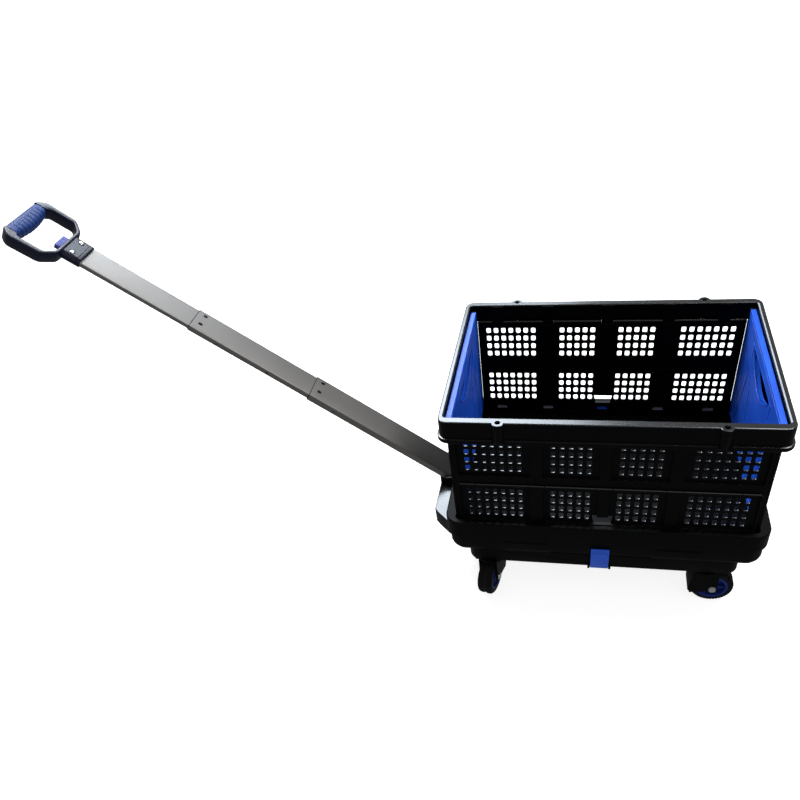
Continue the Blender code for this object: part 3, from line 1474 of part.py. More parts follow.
WHEEL_SIDES = 20
CASTER_HEADINGS = {"front_right": 0, "rear_right": 0, "front_left": -103, "rear_left": -103}


def caster_plate():
    foot = CROWN_TOP + GAP
    head_radius, _ = KINGPIN_HEAD
    head_top = CROWN_TOP - CROWN_THICK - GAP
    plate = prism(rounded(*PLATE_HALF, 3 * MM, 2), "z", foot, foot + PLATE_THICK)
    profile = [
        (KINGPIN_FOOT, head_radius),
        (head_top, head_radius),
        (head_top, KINGPIN_RADIUS),
        (foot + 1 * MM, KINGPIN_RADIUS),
    ]
    return join(plate, turned_rod(profile, "z", (0, 0)))


def caster_fork():
    top = CROWN_TOP
    crown_profile = [(top - CROWN_THICK, CROWN_RADIUS), (top, CROWN_RADIUS - 2 * MM)]
    crown = turned_rod(crown_profile, "z", (0, 0), 20)
    hood_low = WHEEL_RADIUS + HOOD_CLEAR
    hood_high = hood_low + HOOD_THICK

    def arc(radius, turns):
        return [
            (
                TRAIL + radius * math.cos(math.radians(turn)),
                WHEEL_Z + radius * math.sin(math.radians(turn)),
            )
            for turn in turns
        ]

    cheek = [
        (TRAIL + 8 * MM, top - CHEEK_DROP),
        (TRAIL - 26 * MM, top - CHEEK_DROP),
        *arc(hood_high, range(135, 196, 12)),
        (TRAIL - 7 * MM, WHEEL_Z - 7 * MM),
        (TRAIL + 2 * MM, WHEEL_Z - 9 * MM),
        (TRAIL + 9 * MM, WHEEL_Z - 2 * MM),
        (TRAIL + 9 * MM, WHEEL_Z + 5 * MM),
    ]
    turns = range(123, 196, 12)
    hood = arc(hood_high, turns) + arc(hood_low, reversed(turns))
    inner = TYRE_WIDTH / 2 + CHEEK_GAP
    outer = inner + CHEEK_THICK
    body = join(
        crown,
        prism(cheek, "y", inner, outer),
        prism(cheek, "y", -outer, -inner),
        prism(hood, "y", -outer + 0.5 * MM, outer - 0.5 * MM),
    )
    kingpin = circle((0, 0), KINGPIN_RADIUS + RUNNING, 10)
    axle = circle((TRAIL, WHEEL_Z), AXLE_RADIUS + RUNNING, 10)
    return cut(
        body,
        prism(kingpin, "z", top - 2 * CROWN_THICK, top + MM),
        prism(axle, "y", -outer - MM, outer + MM),
    )


def caster_tyre():
    half = TYRE_WIDTH / 2
    profile = [
        (-half, TYRE_BORE),
        (half, TYRE_BORE),
        (half, WHEEL_RADIUS - 4 * MM),
        (half - 5 * MM, WHEEL_RADIUS),
        (-half + 5 * MM, WHEEL_RADIUS),
        (-half, WHEEL_RADIUS - 4 * MM),
    ]
    return turned_ring(profile, "y", (TRAIL, WHEEL_Z), WHEEL_SIDES)


def caster_hub():
    boss_half, boss_radius = HUB_BOSS
    disc_half, disc_inset = HUB_DISC
    side = [
        (boss_half, HUB_BORE),
        (boss_half, boss_radius),
        (disc_half, TYRE_BORE - disc_inset),
        (TYRE_WIDTH / 2 - 1 * MM, TYRE_BORE - GAP),
    ]
    profile = side + [(-level, radius) for level, radius in reversed(side)]
    return turned_ring(profile, "y", (TRAIL, WHEEL_Z), WHEEL_SIDES)


def caster_axle():
    seat = TYRE_WIDTH / 2 + CHEEK_GAP + CHEEK_THICK + GAP
    radius, thick = AXLE_HEAD
    profile = [
        (-seat - thick, radius - 1 * MM),
        (-seat, radius),
        (-seat, AXLE_RADIUS),
        (seat, AXLE_RADIUS),
        (seat, radius),
        (seat + thick, radius - 1 * MM),
    ]
    return turned_rod(profile, "y", (TRAIL, WHEEL_Z))


def build_casters(base):
    for name, (x, y) in caster_places().items():
        turn = Matrix.Rotation(math.radians(CASTER_HEADINGS[name]), 4, "Z")
        move = Matrix.Translation((x, y, 0)) @ turn
        swivel = axis_empty(f"{name}_swivel_axis", Vector((x, y, CHASSIS_FOOT)))
        wheel = axis_empty(f"{name}_wheel_axis", move @ Vector((TRAIL, 0, WHEEL_Z)))
        for piece, mesh, finish, empty in (
            ("caster_plate", caster_plate(), "steel", base),
            ("caster_fork", caster_fork(), "black_plastic", swivel),
            ("tyre", caster_tyre(), "tyre", wheel),
            ("hub", caster_hub(), "blue_plastic", wheel),
            ("axle", caster_axle(), "steel", swivel),
        ):
            place(f"{name}_{piece}", turned(mesh, move), finish, empty)


# Whole part


def build_handle():
    pivot = axis_empty("handle_axis", PIVOT)
    build_outer_tube(pivot)
    build_middle_tube(axis_empty("middle_tube_axis", on_handle(OUTER_END)))
    inner = axis_empty("inner_tube_axis", on_handle(MIDDLE_END))
    build_inner_tube(inner)
    build_grip(inner)
    build_button(axis_empty("button_axis", on_handle(button_start())))


def build():
    clear_scene()
    base = axis_empty("base_frame", Vector((0, 0, 0)))
    frame = axis_empty("frame_axis", Vector((0, -FOLD_AXIS_Y, HEAD_AXIS_Z)))
    build_tray(base)
    build_chassis(base)
    add_latch_pins(base)
    build_housing(base)
    add_pivot_pin(base)
    build_frame(frame)
    build_long_sides()
    build_end_walls()
    build_latches()
    build_handle()
    build_casters(base)


build()
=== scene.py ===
"""Looks of the folding crate on its dolly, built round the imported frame.

Shapes are in millimetres, +Z up, in the frame's own axes: the origin is the middle of the load
floor, +X points away from the handle and the front long side faces -Y. piece() turns a shape to
metres. The camera, the lamps and the floor are in metres.
"""

import math

import bmesh
import bpy
from mathutils import Matrix, Vector


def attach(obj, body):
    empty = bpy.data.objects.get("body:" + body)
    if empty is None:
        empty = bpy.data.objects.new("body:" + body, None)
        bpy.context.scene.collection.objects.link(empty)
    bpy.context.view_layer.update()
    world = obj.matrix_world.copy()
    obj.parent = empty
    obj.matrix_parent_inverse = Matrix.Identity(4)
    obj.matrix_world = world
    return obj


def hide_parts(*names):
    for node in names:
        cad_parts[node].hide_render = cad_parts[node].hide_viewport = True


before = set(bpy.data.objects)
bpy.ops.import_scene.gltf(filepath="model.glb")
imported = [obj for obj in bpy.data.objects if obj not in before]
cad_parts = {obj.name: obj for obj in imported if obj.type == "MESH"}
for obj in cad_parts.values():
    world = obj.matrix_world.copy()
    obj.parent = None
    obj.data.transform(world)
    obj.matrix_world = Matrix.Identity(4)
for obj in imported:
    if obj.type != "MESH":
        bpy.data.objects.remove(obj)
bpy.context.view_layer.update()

MM = 0.001
SIDES = (-1, 1)
QUARTERS = ((1, 1), (-1, 1), (-1, -1), (1, -1))

# Camera, fitted to the photograph
CAMERA_PLACE = Vector((-0.03973, -1.04738, 0.96160))
CAMERA_TURN = (16.6166, 42.7578, -9.2959)  # azimuth, elevation and roll in degrees
FOCAL_PIXELS = 735.267
CENTRE_PIXELS = (421.2317, 481.6865)
PICTURE = 800
SENSOR = 36

# Stage, in metres
GROUND_Z = -0.1642
FLOOR_REACH = 30.0
FLOOR_COLOUR = (0.8, 0.8, 0.8, 1)
FLOOR_GLOW = 0.82  # added where the camera sees the floor
GLOSSY_GLOW = 0.3
AMBIENT = 0.3
# Place, target, size, power and colour
LAMPS = {
    "window": ((-0.72, 2.2, 2.1), (0, 0, 0.25), (1.35, 0.9), 46, (0.80, 0.90, 1.0)),
    "left": ((-1.2, 0.9, 1.9), (0.2, 0, 0.15), (0.9, 0.9), 36, (0.95, 0.97, 1.0)),
    "right": ((0.95, 0.5, 2.3), (-0.2, 0, 0.15), (0.9, 0.9), 30, (0.95, 0.97, 1.0)),
    "fill": ((0.8, -2.6, 2.4), (0, 0, 0.1), (2.2, 1.6), 7, (1.0, 0.98, 0.96)),
}


# Outlines


def arc(centre, radius, turns):
    """Points round a centre at the turns, in degrees."""
    points = []
    for turn in turns:
        angle = math.radians(turn)
        points.append((centre[0] + radius * math.cos(angle), centre[1] + radius * math.sin(angle)))
    return points


def circle(centre, radius, sides):
    return arc(centre, radius, [360 * i / sides for i in range(sides)])


def half_circle(centre, radius, steps=12):
    """Half circle below its centre, or above it for a negative radius."""
    return arc(centre, -radius, [180 * i / steps for i in range(steps + 1)])


def rounded(half_x, half_y, radius, steps=8, centre=(0.0, 0.0)):
    """Rectangle with round corners."""
    points = []
    for quarter, (sx, sy) in enumerate(QUARTERS):
        middle = (centre[0] + sx * (half_x - radius), centre[1] + sy * (half_y - radius))
        points += arc(middle, radius, [90 * (quarter + step / steps) for step in range(steps + 1)])
    return points


def offset_outline(points, distance):
    """A convex outline grown by the distance, or shrunk by a negative one."""
    middle = Vector((sum(x for x, _ in points), sum(y for _, y in points))) / len(points)
    lines = []
    for first, second in zip(points, points[1:] + points[:1]):
        start, step = Vector(first), Vector(second) - Vector(first)
        normal = Vector((step.y, -step.x)).normalized()
        if normal.dot(start - middle) < 0:
            normal.negate()
        lines.append((start + normal * distance, step))
    grown = []
    for (start, step), (next_start, next_step) in zip(lines[-1:] + lines[:-1], lines):
        across = step.x * next_step.y - step.y * next_step.x
        gap = next_start - start
        share = (gap.x * next_step.y - gap.y * next_step.x) / across
        grown.append(tuple(start + step * share))
    return grown


def round_corners(points, radius, steps=5):
    """Each corner replaced by a curve that starts at the radius from it along both edges."""
    result = []
    count = len(points)
    for i in range(count):
        before, here, after = (Vector(points[(i + k) % count]) for k in (-1, 0, 1))
        reach = min(radius, (before - here).length * 0.45, (after - here).length * 0.45)
        start = here + (before - here).normalized() * reach
        end = here + (after - here).normalized() * reach
        for step in range(steps + 1):
            share = step / steps
            point = start * (1 - share) ** 2 + here * 2 * share * (1 - share) + end * share**2
            result.append(tuple(point))
    return result


def around(middle, half):
    """Span of a half width round a middle."""
    return (middle - half, middle + half)


# Meshes


def to_mesh(bm):
    bmesh.ops.recalc_face_normals(bm, faces=bm.faces)
    mesh = bpy.data.meshes.new("shape")
    bm.to_mesh(mesh)
    bm.free()
    return mesh


def add_strips(bm, rings):
    """Faces between each ring of vertices and the next."""
    for low, high in zip(rings, rings[1:]):
        for i in range(len(low)):
            j = (i + 1) % len(low)
            bm.faces.new((low[i], low[j], high[j], high[i]))


def skin(loops, closed=False):
    """Solid through loops of equally many points: capped, or closed to a ring."""
    bm = bmesh.new()
    rings = [[bm.verts.new(point) for point in loop] for loop in loops]
    if closed:
        add_strips(bm, rings + rings[:1])
    else:
        add_strips(bm, rings)
        bm.faces.new(list(reversed(rings[0])))
        bm.faces.new(rings[-1])
    return to_mesh(bm)


def lift(point, axis, level):
    a, b = point
    return {"x": (level, a, b), "y": (a, level, b), "z": (a, b, level)}[axis]


def layered(layers, axis="z", closed=False):
    """Solid through flat outlines at levels of an axis, given as (outline, level)."""
    loops = [[lift(point, axis, level) for point in outline] for outline, level in layers]
    return skin(loops, closed)


def prism(outline, axis, low, high):
    return layered(((outline, low), (outline, high)), axis)


def ring_prism(outer, inner, axis, low, high):
    return layered(((outer, low), (outer, high), (inner, high), (inner, low)), axis, closed=True)


def turned(profile, axis, centre, sides=24, closed=False):
    """Round solid through (level, radius) pairs."""
    return layered([(circle(centre, radius, sides), level) for level, radius in profile], axis, closed)


def block(x, y, z):
    """Box from three (low, high) spans in any order."""
    (x0, x1), (y0, y1), (z0, z1) = sorted(x), sorted(y), sorted(z)
    return prism([(x0, y0), (x1, y0), (x1, y1), (x0, y1)], "z", z0, z1)


def levels(*values):
    """The values in order, without repeats."""
    kept = []
    for value in sorted(values):
        if not kept or value - kept[-1] > 1e-4:
            kept.append(value)
    return kept


def voxels(xs, ys, zs, filled):
    """Solid of the grid cells for which filled(x, y, z) of the cell's middle is true."""

    def middle(values, i):
        return (values[i] + values[i + 1]) / 2

    solid = {
        (i, j, k)
        for i in range(len(xs) - 1)
        for j in range(len(ys) - 1)
        for k in range(len(zs) - 1)
        if filled(middle(xs, i), middle(ys, j), middle(zs, k))
    }
    bm = bmesh.new()
    made = {}

    def vert(i, j, k):
        if (i, j, k) not in made:
            made[i, j, k] = bm.verts.new((xs[i], ys[j], zs[k]))
        return made[i, j, k]

    corners = {
        (-1, 0, 0): ((0, 0, 0), (0, 0, 1), (0, 1, 1), (0, 1, 0)),
        (1, 0, 0): ((1, 0, 0), (1, 1, 0), (1, 1, 1), (1, 0, 1)),
        (0, -1, 0): ((0, 0, 0), (1, 0, 0), (1, 0, 1), (0, 0, 1)),
        (0, 1, 0): ((0, 1, 0), (0, 1, 1), (1, 1, 1), (1, 1, 0)),
        (0, 0, -1): ((0, 0, 0), (0, 1, 0), (1, 1, 0), (1, 0, 0)),
        (0, 0, 1): ((0, 0, 1), (1, 0, 1), (1, 1, 1), (0, 1, 1)),
    }
    for i, j, k in sorted(solid):
        for (di, dj, dk), offsets in corners.items():
            if (i + di, j + dj, k + dk) not in solid:
                bm.faces.new([vert(i + a, j + b, k + c) for a, b, c in offsets])
    bmesh.ops.dissolve_limit(bm, angle_limit=math.radians(1), verts=bm.verts, edges=bm.edges)
    return to_mesh(bm)


def boolean(first, others, operation):
    base = bpy.data.objects.new("base", first)
    bpy.context.scene.collection.objects.link(base)
    helpers = []
    for other in others:
        helper = bpy.data.objects.new("helper", other)
        bpy.context.scene.collection.objects.link(helper)
        modifier = base.modifiers.new("step", "BOOLEAN")
        modifier.operation = operation
        modifier.object = helper
        helpers.append(helper)
    bpy.context.view_layer.update()
    graph = bpy.context.evaluated_depsgraph_get()
    result = bpy.data.meshes.new_from_object(base.evaluated_get(graph))
    for used in [base, *helpers]:
        mesh = used.data
        bpy.data.objects.remove(used)
        bpy.data.meshes.remove(mesh)
    return result


def union(first, *others):
    return boolean(first, others, "UNION")


def cut(first, *others):
    return boolean(first, others, "DIFFERENCE")


def gathered(meshes):
    """Several meshes in one, as they are."""
    bm = bmesh.new()
    for mesh in meshes:
        bm.from_mesh(mesh)
        bpy.data.meshes.remove(mesh)
    merged = bpy.data.meshes.new("gathered")
    bm.to_mesh(merged)
    bm.free()
    return merged


def moved(mesh, matrix):
    mesh.transform(matrix)
    if matrix.determinant() < 0:
        mesh.flip_normals()
    return mesh


def mirrored(mesh, axis):
    scale = {"x": (-1, 1, 1), "y": (1, -1, 1)}[axis]
    return moved(mesh.copy(), Matrix.Diagonal((*scale, 1)))


def piece(name, mesh, finish, body, stands_for=(), soften=0.0, sharp=35):
    """Names the mesh, paints it and lets it ride on its body. Soften is the edge bevel's width."""
    mesh.transform(Matrix.Scale(MM, 4))
    mesh.name = name
    mesh.materials.clear()
    mesh.materials.append(material(finish))
    for face in mesh.polygons:
        face.use_smooth = True
        face.material_index = 0
    mesh.set_sharp_from_angle(angle=math.radians(sharp))
    made = bpy.data.objects.new(name, mesh)
    bpy.context.scene.collection.objects.link(made)
    if soften:
        bevel = made.modifiers.new("soft_edges", "BEVEL")
        bevel.width = soften * MM
        bevel.segments = 2
        bevel.limit_method = "ANGLE"
        bevel.angle_limit = math.radians(40)
        bevel.use_clamp_overlap = False
        weighted = made.modifiers.new("even_shading", "WEIGHTED_NORMAL")
        weighted.keep_sharp = False
        for edge in mesh.edges:
            edge.use_edge_sharp = False
    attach(made, body)
    if stands_for:
        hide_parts(*stands_for)


# Materials


# Finishes of each slot. The first is also that of the CAD nodes that stay.
SLOT_FINISHES = {
    "black_plastic": ("shell", "black", "rail", "pad"),
    "blue_plastic": ("blue", "hub", "sleeve", "button"),
    "navy_plastic": ("navy",),
    "aluminium": ("aluminium",),
    "steel": ("steel", "rod"),
    "tyre": ("tyre",),
}
# Inputs and output of the mix node that hold colours
MIX_DARK, MIX_PALE, MIX_RESULT = 6, 7, 2


class Nodes:
    """Short way to write a node tree."""

    def __init__(self, tree):
        self.tree = tree
        self.shader = tree.nodes.get("Principled BSDF")

    def feed(self, socket, value):
        """Link from a socket, or a plain value."""
        if isinstance(value, bpy.types.NodeSocket):
            self.tree.links.new(value, socket)
        else:
            socket.default_value = value

    def add(self, kind, inputs=(), **settings):
        node = self.tree.nodes.new(kind)
        for key, value in settings.items():
            setattr(node, key, value)
        for key, value in dict(inputs).items():
            self.feed(node.inputs[key], value)
        return node

    def place(self, turn=(0.0, 0.0, 0.0), scale=(1.0, 1.0, 1.0)):
        """Coordinates in the object's rest frame, turned and stretched."""
        where = self.add("ShaderNodeTexCoord").outputs["Object"]
        inputs = {"Vector": where, "Rotation": turn, "Scale": scale}
        return self.add("ShaderNodeMapping", inputs).outputs["Vector"]

    def noise(self, vector, scale, detail=3.0, roughness=0.5):
        inputs = {"Vector": vector, "Scale": scale, "Detail": detail, "Roughness": roughness}
        return self.add("ShaderNodeTexNoise", inputs).outputs["Fac"]

    def spread(self, value, low, high, start=0.0, end=1.0):
        inputs = {"Value": value, "From Min": start, "From Max": end, "To Min": low, "To Max": high}
        return self.add("ShaderNodeMapRange", inputs).outputs["Result"]

    def math(self, operation, first, second):
        return self.add("ShaderNodeMath", {0: first, 1: second}, operation=operation).outputs["Value"]

    def blend(self, share, dark, pale):
        inputs = {0: share, MIX_DARK: (*dark, 1.0), MIX_PALE: (*pale, 1.0)}
        return self.add("ShaderNodeMix", inputs, data_type="RGBA").outputs[MIX_RESULT]

    def facing_up(self):
        """1 where the surface points up, 0 where it is upright or points down."""
        normal = self.add("ShaderNodeNewGeometry").outputs["Normal"]
        height = self.add("ShaderNodeSeparateXYZ", {"Vector": normal}).outputs["Z"]
        return self.spread(height, 0.0, 1.0, 0.35, 0.85)

    def bump(self, height, strength, distance, below=None):
        inputs = {"Height": height, "Strength": strength, "Distance": distance}
        if below is not None:
            inputs["Normal"] = below
        return self.add("ShaderNodeBump", inputs).outputs["Normal"]

    def into(self, name, value):
        self.feed(self.shader.inputs[name], value)


def plastic(nodes, dark, pale, roughness, shine, grain=0.12, waves=0.1):
    """Moulded plastic: fine grain, cloudy tone, scuffs, and a polish on what points up."""
    vector = nodes.place()
    cloud = nodes.noise(vector, 14.0, 4.0)
    marks = nodes.noise(nodes.place(scale=(1.0, 3.0, 2.0)), 160.0, 6.0, 0.7)
    scuff = nodes.spread(marks, 0.0, 1.0, 0.52, 0.72)
    nodes.into("Base Color", nodes.blend(nodes.math("MULTIPLY", scuff, 0.5), dark, pale))
    rough = nodes.spread(cloud, *roughness, 0.3, 0.7)
    nodes.into("Roughness", nodes.math("ADD", rough, nodes.math("MULTIPLY", scuff, 0.06)))
    nodes.into("Specular IOR Level", nodes.spread(nodes.facing_up(), *shine))
    fine = nodes.bump(nodes.noise(vector, 2600.0, 2.0), grain, 0.00008)
    nodes.into("Normal", nodes.bump(cloud, waves, 0.0006, fine))


def stippled(nodes, dark, pale, roughness, shine):
    """Plastic with a fine raised stipple and faint flow marks."""
    vector = nodes.place()
    cloud = nodes.noise(vector, 11.0, 3.0)
    nodes.into("Base Color", nodes.blend(nodes.spread(cloud, 0.0, 1.0, 0.35, 0.65), dark, pale))
    flow = nodes.noise(nodes.place(scale=(1.0, 1.0, 6.0)), 120.0, 5.0, 0.65)
    nodes.into("Roughness", nodes.spread(flow, *roughness, 0.3, 0.7))
    nodes.into("Specular IOR Level", shine)
    fine = nodes.bump(nodes.noise(vector, 2200.0, 2.0), 0.12, 0.00008)
    nodes.into("Normal", nodes.bump(flow, 0.06, 0.0004, fine))


def metal(nodes, dark, pale, roughness, turn, stretch):
    """Metal with fine lines along the stretched axis."""
    lines = nodes.noise(nodes.place(turn, stretch), 900.0, 4.0, 0.6)
    cloud = nodes.noise(nodes.place(), 9.0, 3.0)
    tone = nodes.math("ADD", nodes.math("MULTIPLY", lines, 0.6), nodes.math("MULTIPLY", cloud, 0.4))
    nodes.into("Base Color", nodes.blend(nodes.spread(tone, 0.0, 1.0, 0.35, 0.65), dark, pale))
    nodes.into("Metallic", 1.0)
    nodes.into("Roughness", nodes.spread(lines, *roughness, 0.3, 0.7))
    nodes.into("Normal", nodes.bump(lines, 0.08, 0.00005))


def rubber(nodes, dark, pale, roughness, shine):
    """Rubber with dust in patches."""
    vector = nodes.place()
    dust = nodes.spread(nodes.noise(vector, 220.0, 5.0, 0.7), 0.0, 1.0, 0.5, 0.75)
    nodes.into("Base Color", nodes.blend(dust, dark, pale))
    nodes.into("Roughness", nodes.spread(dust, *roughness))
    nodes.into("Specular IOR Level", shine)
    nodes.into("Normal", nodes.bump(nodes.noise(vector, 1500.0, 3.0), 0.2, 0.0001))


HANDLE_ANGLE = math.radians(38.04)
ALONG_HANDLE = ((0.0, HANDLE_ANGLE, 0.0), (0.02, 1.0, 1.0))
ALONG_X = ((0.0, 0.0, 0.0), (0.05, 1.0, 1.0))
# Maker, dark and pale colour, least and most roughness, shine, and what else the maker takes
RECIPES = {
    "black": (plastic, (0.0014, 0.0015, 0.0021), (0.0034, 0.0035, 0.0046), (0.38, 0.48), (0.05, 0.22)),
    "shell": (plastic, (0.0014, 0.0015, 0.0020), (0.0034, 0.0035, 0.0044), (0.42, 0.52), (0.05, 0.12)),
    "rail": (
        plastic, (0.0018, 0.0019, 0.0026), (0.0042, 0.0044, 0.0058),
        (0.22, 0.28), (0.05, 1.0), 0.03, 0.03,
    ),
    # Pale grey painted on the plates by the tray's hinge lugs, as light seen through the openings there
    "pad": (plastic, (0.30, 0.31, 0.33), (0.38, 0.39, 0.41), (0.30, 0.40), (0.2, 0.5)),
    "navy": (
        plastic, (0.0035, 0.0055, 0.019), (0.0075, 0.011, 0.034),
        (0.32, 0.42), (0.20, 0.5), 0.06, 0.06,
    ),
    "blue": (stippled, (0.012, 0.095, 0.68), (0.018, 0.135, 0.84), (0.32, 0.42), 0.4),
    # Hub: darker than the liners' blue, partly the hub's own dark blue and partly painted shade of the
    # wheels under the dolly
    "hub": (stippled, (0.004, 0.020, 0.15), (0.008, 0.032, 0.22), (0.4, 0.5), 0.15),
    "sleeve": (stippled, (0.009, 0.036, 0.17), (0.016, 0.056, 0.24), (0.42, 0.52), 0.22),
    "button": (stippled, (0.055, 0.070, 0.27), (0.080, 0.10, 0.34), (0.4, 0.5), 0.12),
    "aluminium": (metal, (0.192, 0.182, 0.17), (0.234, 0.222, 0.21), (0.44, 0.52), *ALONG_HANDLE),
    "steel": (metal, (0.42, 0.43, 0.44), (0.56, 0.56, 0.57), (0.22, 0.34), *ALONG_X),
    "rod": (metal, (0.010, 0.010, 0.012), (0.022, 0.022, 0.026), (0.5, 0.62), *ALONG_X),
    "tyre": (rubber, (0.0045, 0.0045, 0.0052), (0.016, 0.016, 0.018), (0.62, 0.85), 0.12),
}


def material(finish):
    """The finish's material, made when it is first asked for."""
    name = f"look_{finish}"
    made = bpy.data.materials.get(name)
    if made is None:
        made = bpy.data.materials.new(name)
        made.use_nodes = True
        maker, *values = RECIPES[finish]
        maker(Nodes(made.node_tree), *values)
    return made


# Long sides


HALF_LENGTH = 239.7
SIDE_INNER = 164.6
SIDE_OUTER = 171.6
SIDE_SPAN = (SIDE_INNER - 1, SIDE_OUTER + 1)  # of what cuts through the side
WEB = 2.6
RELIEF = 3.2  # step along the middle hinge
FOLD_Y = 168.1
MID_Y = 172.0
FOOT_Z = 14
MID_Z = 115.3
HEAD_Z = 216.6
PITCH_X = 14.08
PITCH_Z = 17.1
HOLE = (4.2, 5.5)  # half sizes
HOLE_RADIUS = 2.2
HOLE_BEVEL = 0.4
TOP_ROWS = (96.5, 200)  # height of the highest row in the lower and the upper half
FIELD_MARGIN = (9.5, 5.6)
WINDOWS = ((53.56, 5), (177.66, 7))  # middle and columns
LUG_X = (-201.5, -107.5, 0, 107.5, 201.5)
NOTCH_HALF = 10.7  # of the notches round the frame's lugs
FOOT_NOTCH = (11.7, 8.7, 9.4)  # half widths at foot and top, height above the axis
FINGER_HALF = 14.5
FINGER_Z = (31, 49)
EAR = 3  # slant at both ends of the finger notch
KNUCKLES = (-235.5, -208, -121.5, -95, -13, 13, 95, 121.5, 208, 235.5)  # where they meet
KNUCKLE_RADIUS = 2.8
KNUCKLE_GAP = 0.6
EDGE_RADIUS = 3.5  # of the round edge on the folding axis


def hole_cell(middle_x, middle_z):
    """Strips of one grille cell: its rim on both faces, the bevels and the hole's wall."""
    half_x, half_z = HOLE
    rim = []
    for quarter, (sx, sz) in enumerate(QUARTERS):
        corner = Vector((sx * PITCH_X / 2, sz * PITCH_Z / 2))
        ends = [
            Vector((corner.x, sz * (half_z - HOLE_RADIUS))),
            Vector((sx * (half_x - HOLE_RADIUS), corner.y)),
        ]
        if quarter % 2:
            ends.reverse()
        first, last = ends
        rim += [first, first.lerp(corner, 0.5), corner, corner.lerp(last, 0.5), last]

    def hole(grow):
        return rounded(half_x + grow, half_z + grow, HOLE_RADIUS + grow, 4)

    inner, outer = SIDE_INNER, SIDE_INNER + WEB
    lines = (
        (rim, inner),
        (hole(HOLE_BEVEL), inner),
        (hole(0), inner + HOLE_BEVEL),
        (hole(0), outer - HOLE_BEVEL),
        (hole(HOLE_BEVEL), outer),
        (rim, outer),
    )
    return [[(x + middle_x, y, z + middle_z) for x, z in line] for line, y in lines]


def grille(columns, rows):
    bm = bmesh.new()
    for x in columns:
        for z in rows:
            add_strips(bm, [[bm.verts.new(point) for point in ring] for ring in hole_cell(x, z)])
    bmesh.ops.remove_doubles(bm, verts=bm.verts, dist=1e-3)
    return to_mesh(bm)


def side_half(upper):
    """Rear half, standing: body with window fields, the grilles in them and the hinge parts."""
    foot, head = (MID_Z + 0.3, HEAD_Z - EDGE_RADIUS) if upper else (FOOT_Z + EDGE_RADIUS, MID_Z - 0.3)
    web, relief_y = SIDE_INNER + WEB, SIDE_OUTER - RELIEF
    relief_z = (foot, foot + RELIEF) if upper else (head - RELIEF, head)
    rows = [TOP_ROWS[upper] - PITCH_Z * i for i in range(4)]
    block_z = (rows[-1] - PITCH_Z / 2, rows[0] + PITCH_Z / 2)
    margin_x, margin_z = FIELD_MARGIN
    field_z = (block_z[0] - margin_z, block_z[1] + margin_z)
    if upper:
        field_z = (field_z[0], min(field_z[1], head - 2))
    blocks, fields, grilles = [], [], []
    for middle, count in WINDOWS:
        for side in SIDES:
            columns = [side * middle + PITCH_X * (i - (count - 1) / 2) for i in range(count)]
            reach = PITCH_X * count / 2
            blocks.append(around(side * middle, reach))
            fields.append(around(side * middle, reach + margin_x))
            grilles.append(grille(columns, rows))

    def inside(value, spans):
        return any(low < value < high for low, high in spans)

    def filled(x, y, z):
        if y > relief_y and inside(z, [relief_z]):
            return False
        if not upper and abs(x) < FINGER_HALF and inside(z, [FINGER_Z]):
            return False
        if inside(x, blocks) and inside(z, [block_z]):
            return False
        return y < web or not (inside(z, [field_z]) and inside(x, fields))

    xs = [-HALF_LENGTH, HALF_LENGTH, -FINGER_HALF, FINGER_HALF]
    xs += [edge for span in blocks + fields for edge in span]
    zs = [foot, head, *relief_z, *field_z, *block_z]
    if not upper:
        zs += FINGER_Z
    body = voxels(levels(*xs), levels(SIDE_INNER, web, relief_y, SIDE_OUTER), levels(*zs), filled)
    notches = head_notches(head) if upper else foot_notches(foot)
    return cut(body, *notches), gathered(grilles), gathered(hinge_parts(upper))


def head_notches(head):
    return [block(around(lug, NOTCH_HALF), SIDE_SPAN, (HEAD_Z - 4, head + 1)) for lug in LUG_X]


def foot_notches(foot):
    """Slanted ends of the finger notch, and the notches round the tray's hinge lugs."""
    cuts = []
    for side in SIDES:
        inner, outer = side * FINGER_HALF, side * (FINGER_HALF + EAR)
        ear = [(inner, FINGER_Z[0] + EAR), (outer, FINGER_Z[1]), (inner, FINGER_Z[1])]
        cuts.append(prism(ear, "y", *SIDE_SPAN))
    low_half, high_half, rise = FOOT_NOTCH
    top = FOOT_Z + rise
    for lug in LUG_X:
        feet = [(lug - low_half, foot - 1), (lug + low_half, foot - 1)]
        cuts.append(prism(feet + [(lug + high_half, top), (lug - high_half, top)], "y", *SIDE_SPAN))
    return cuts


def hinge_parts(upper):
    """Round hinge edge between the lugs, and this half's knuckles at mid height."""
    parts = []
    centre_z = HEAD_Z if upper else FOOT_Z
    toward = -1 if upper else 1
    reach = toward * EDGE_RADIUS
    root = centre_z + toward * 4.2
    outline = half_circle((FOLD_Y, centre_z), reach) + [(FOLD_Y + reach, root), (FOLD_Y - reach, root)]
    notch_half = NOTCH_HALF if upper else FOOT_NOTCH[0]
    edges = [-HALF_LENGTH]
    for lug in LUG_X:
        edges += around(lug, notch_half)
    edges.append(HALF_LENGTH)
    for low, high in zip(edges[::2], edges[1::2]):
        parts.append(prism(outline, "x", low, high))
    for index, (low, high) in enumerate(zip(KNUCKLES, KNUCKLES[1:])):
        if (index % 2 == 1) != upper:
            continue
        low, high = low + KNUCKLE_GAP, high - KNUCKLE_GAP
        parts.append(prism(circle((MID_Y, MID_Z), KNUCKLE_RADIUS, 20), "x", low, high))
        leaf_z = (MID_Z - toward * 1.2, MID_Z - toward * 4.8)
        parts.append(block((low, high), (SIDE_OUTER - 3.8, SIDE_OUTER), leaf_z))
    return parts


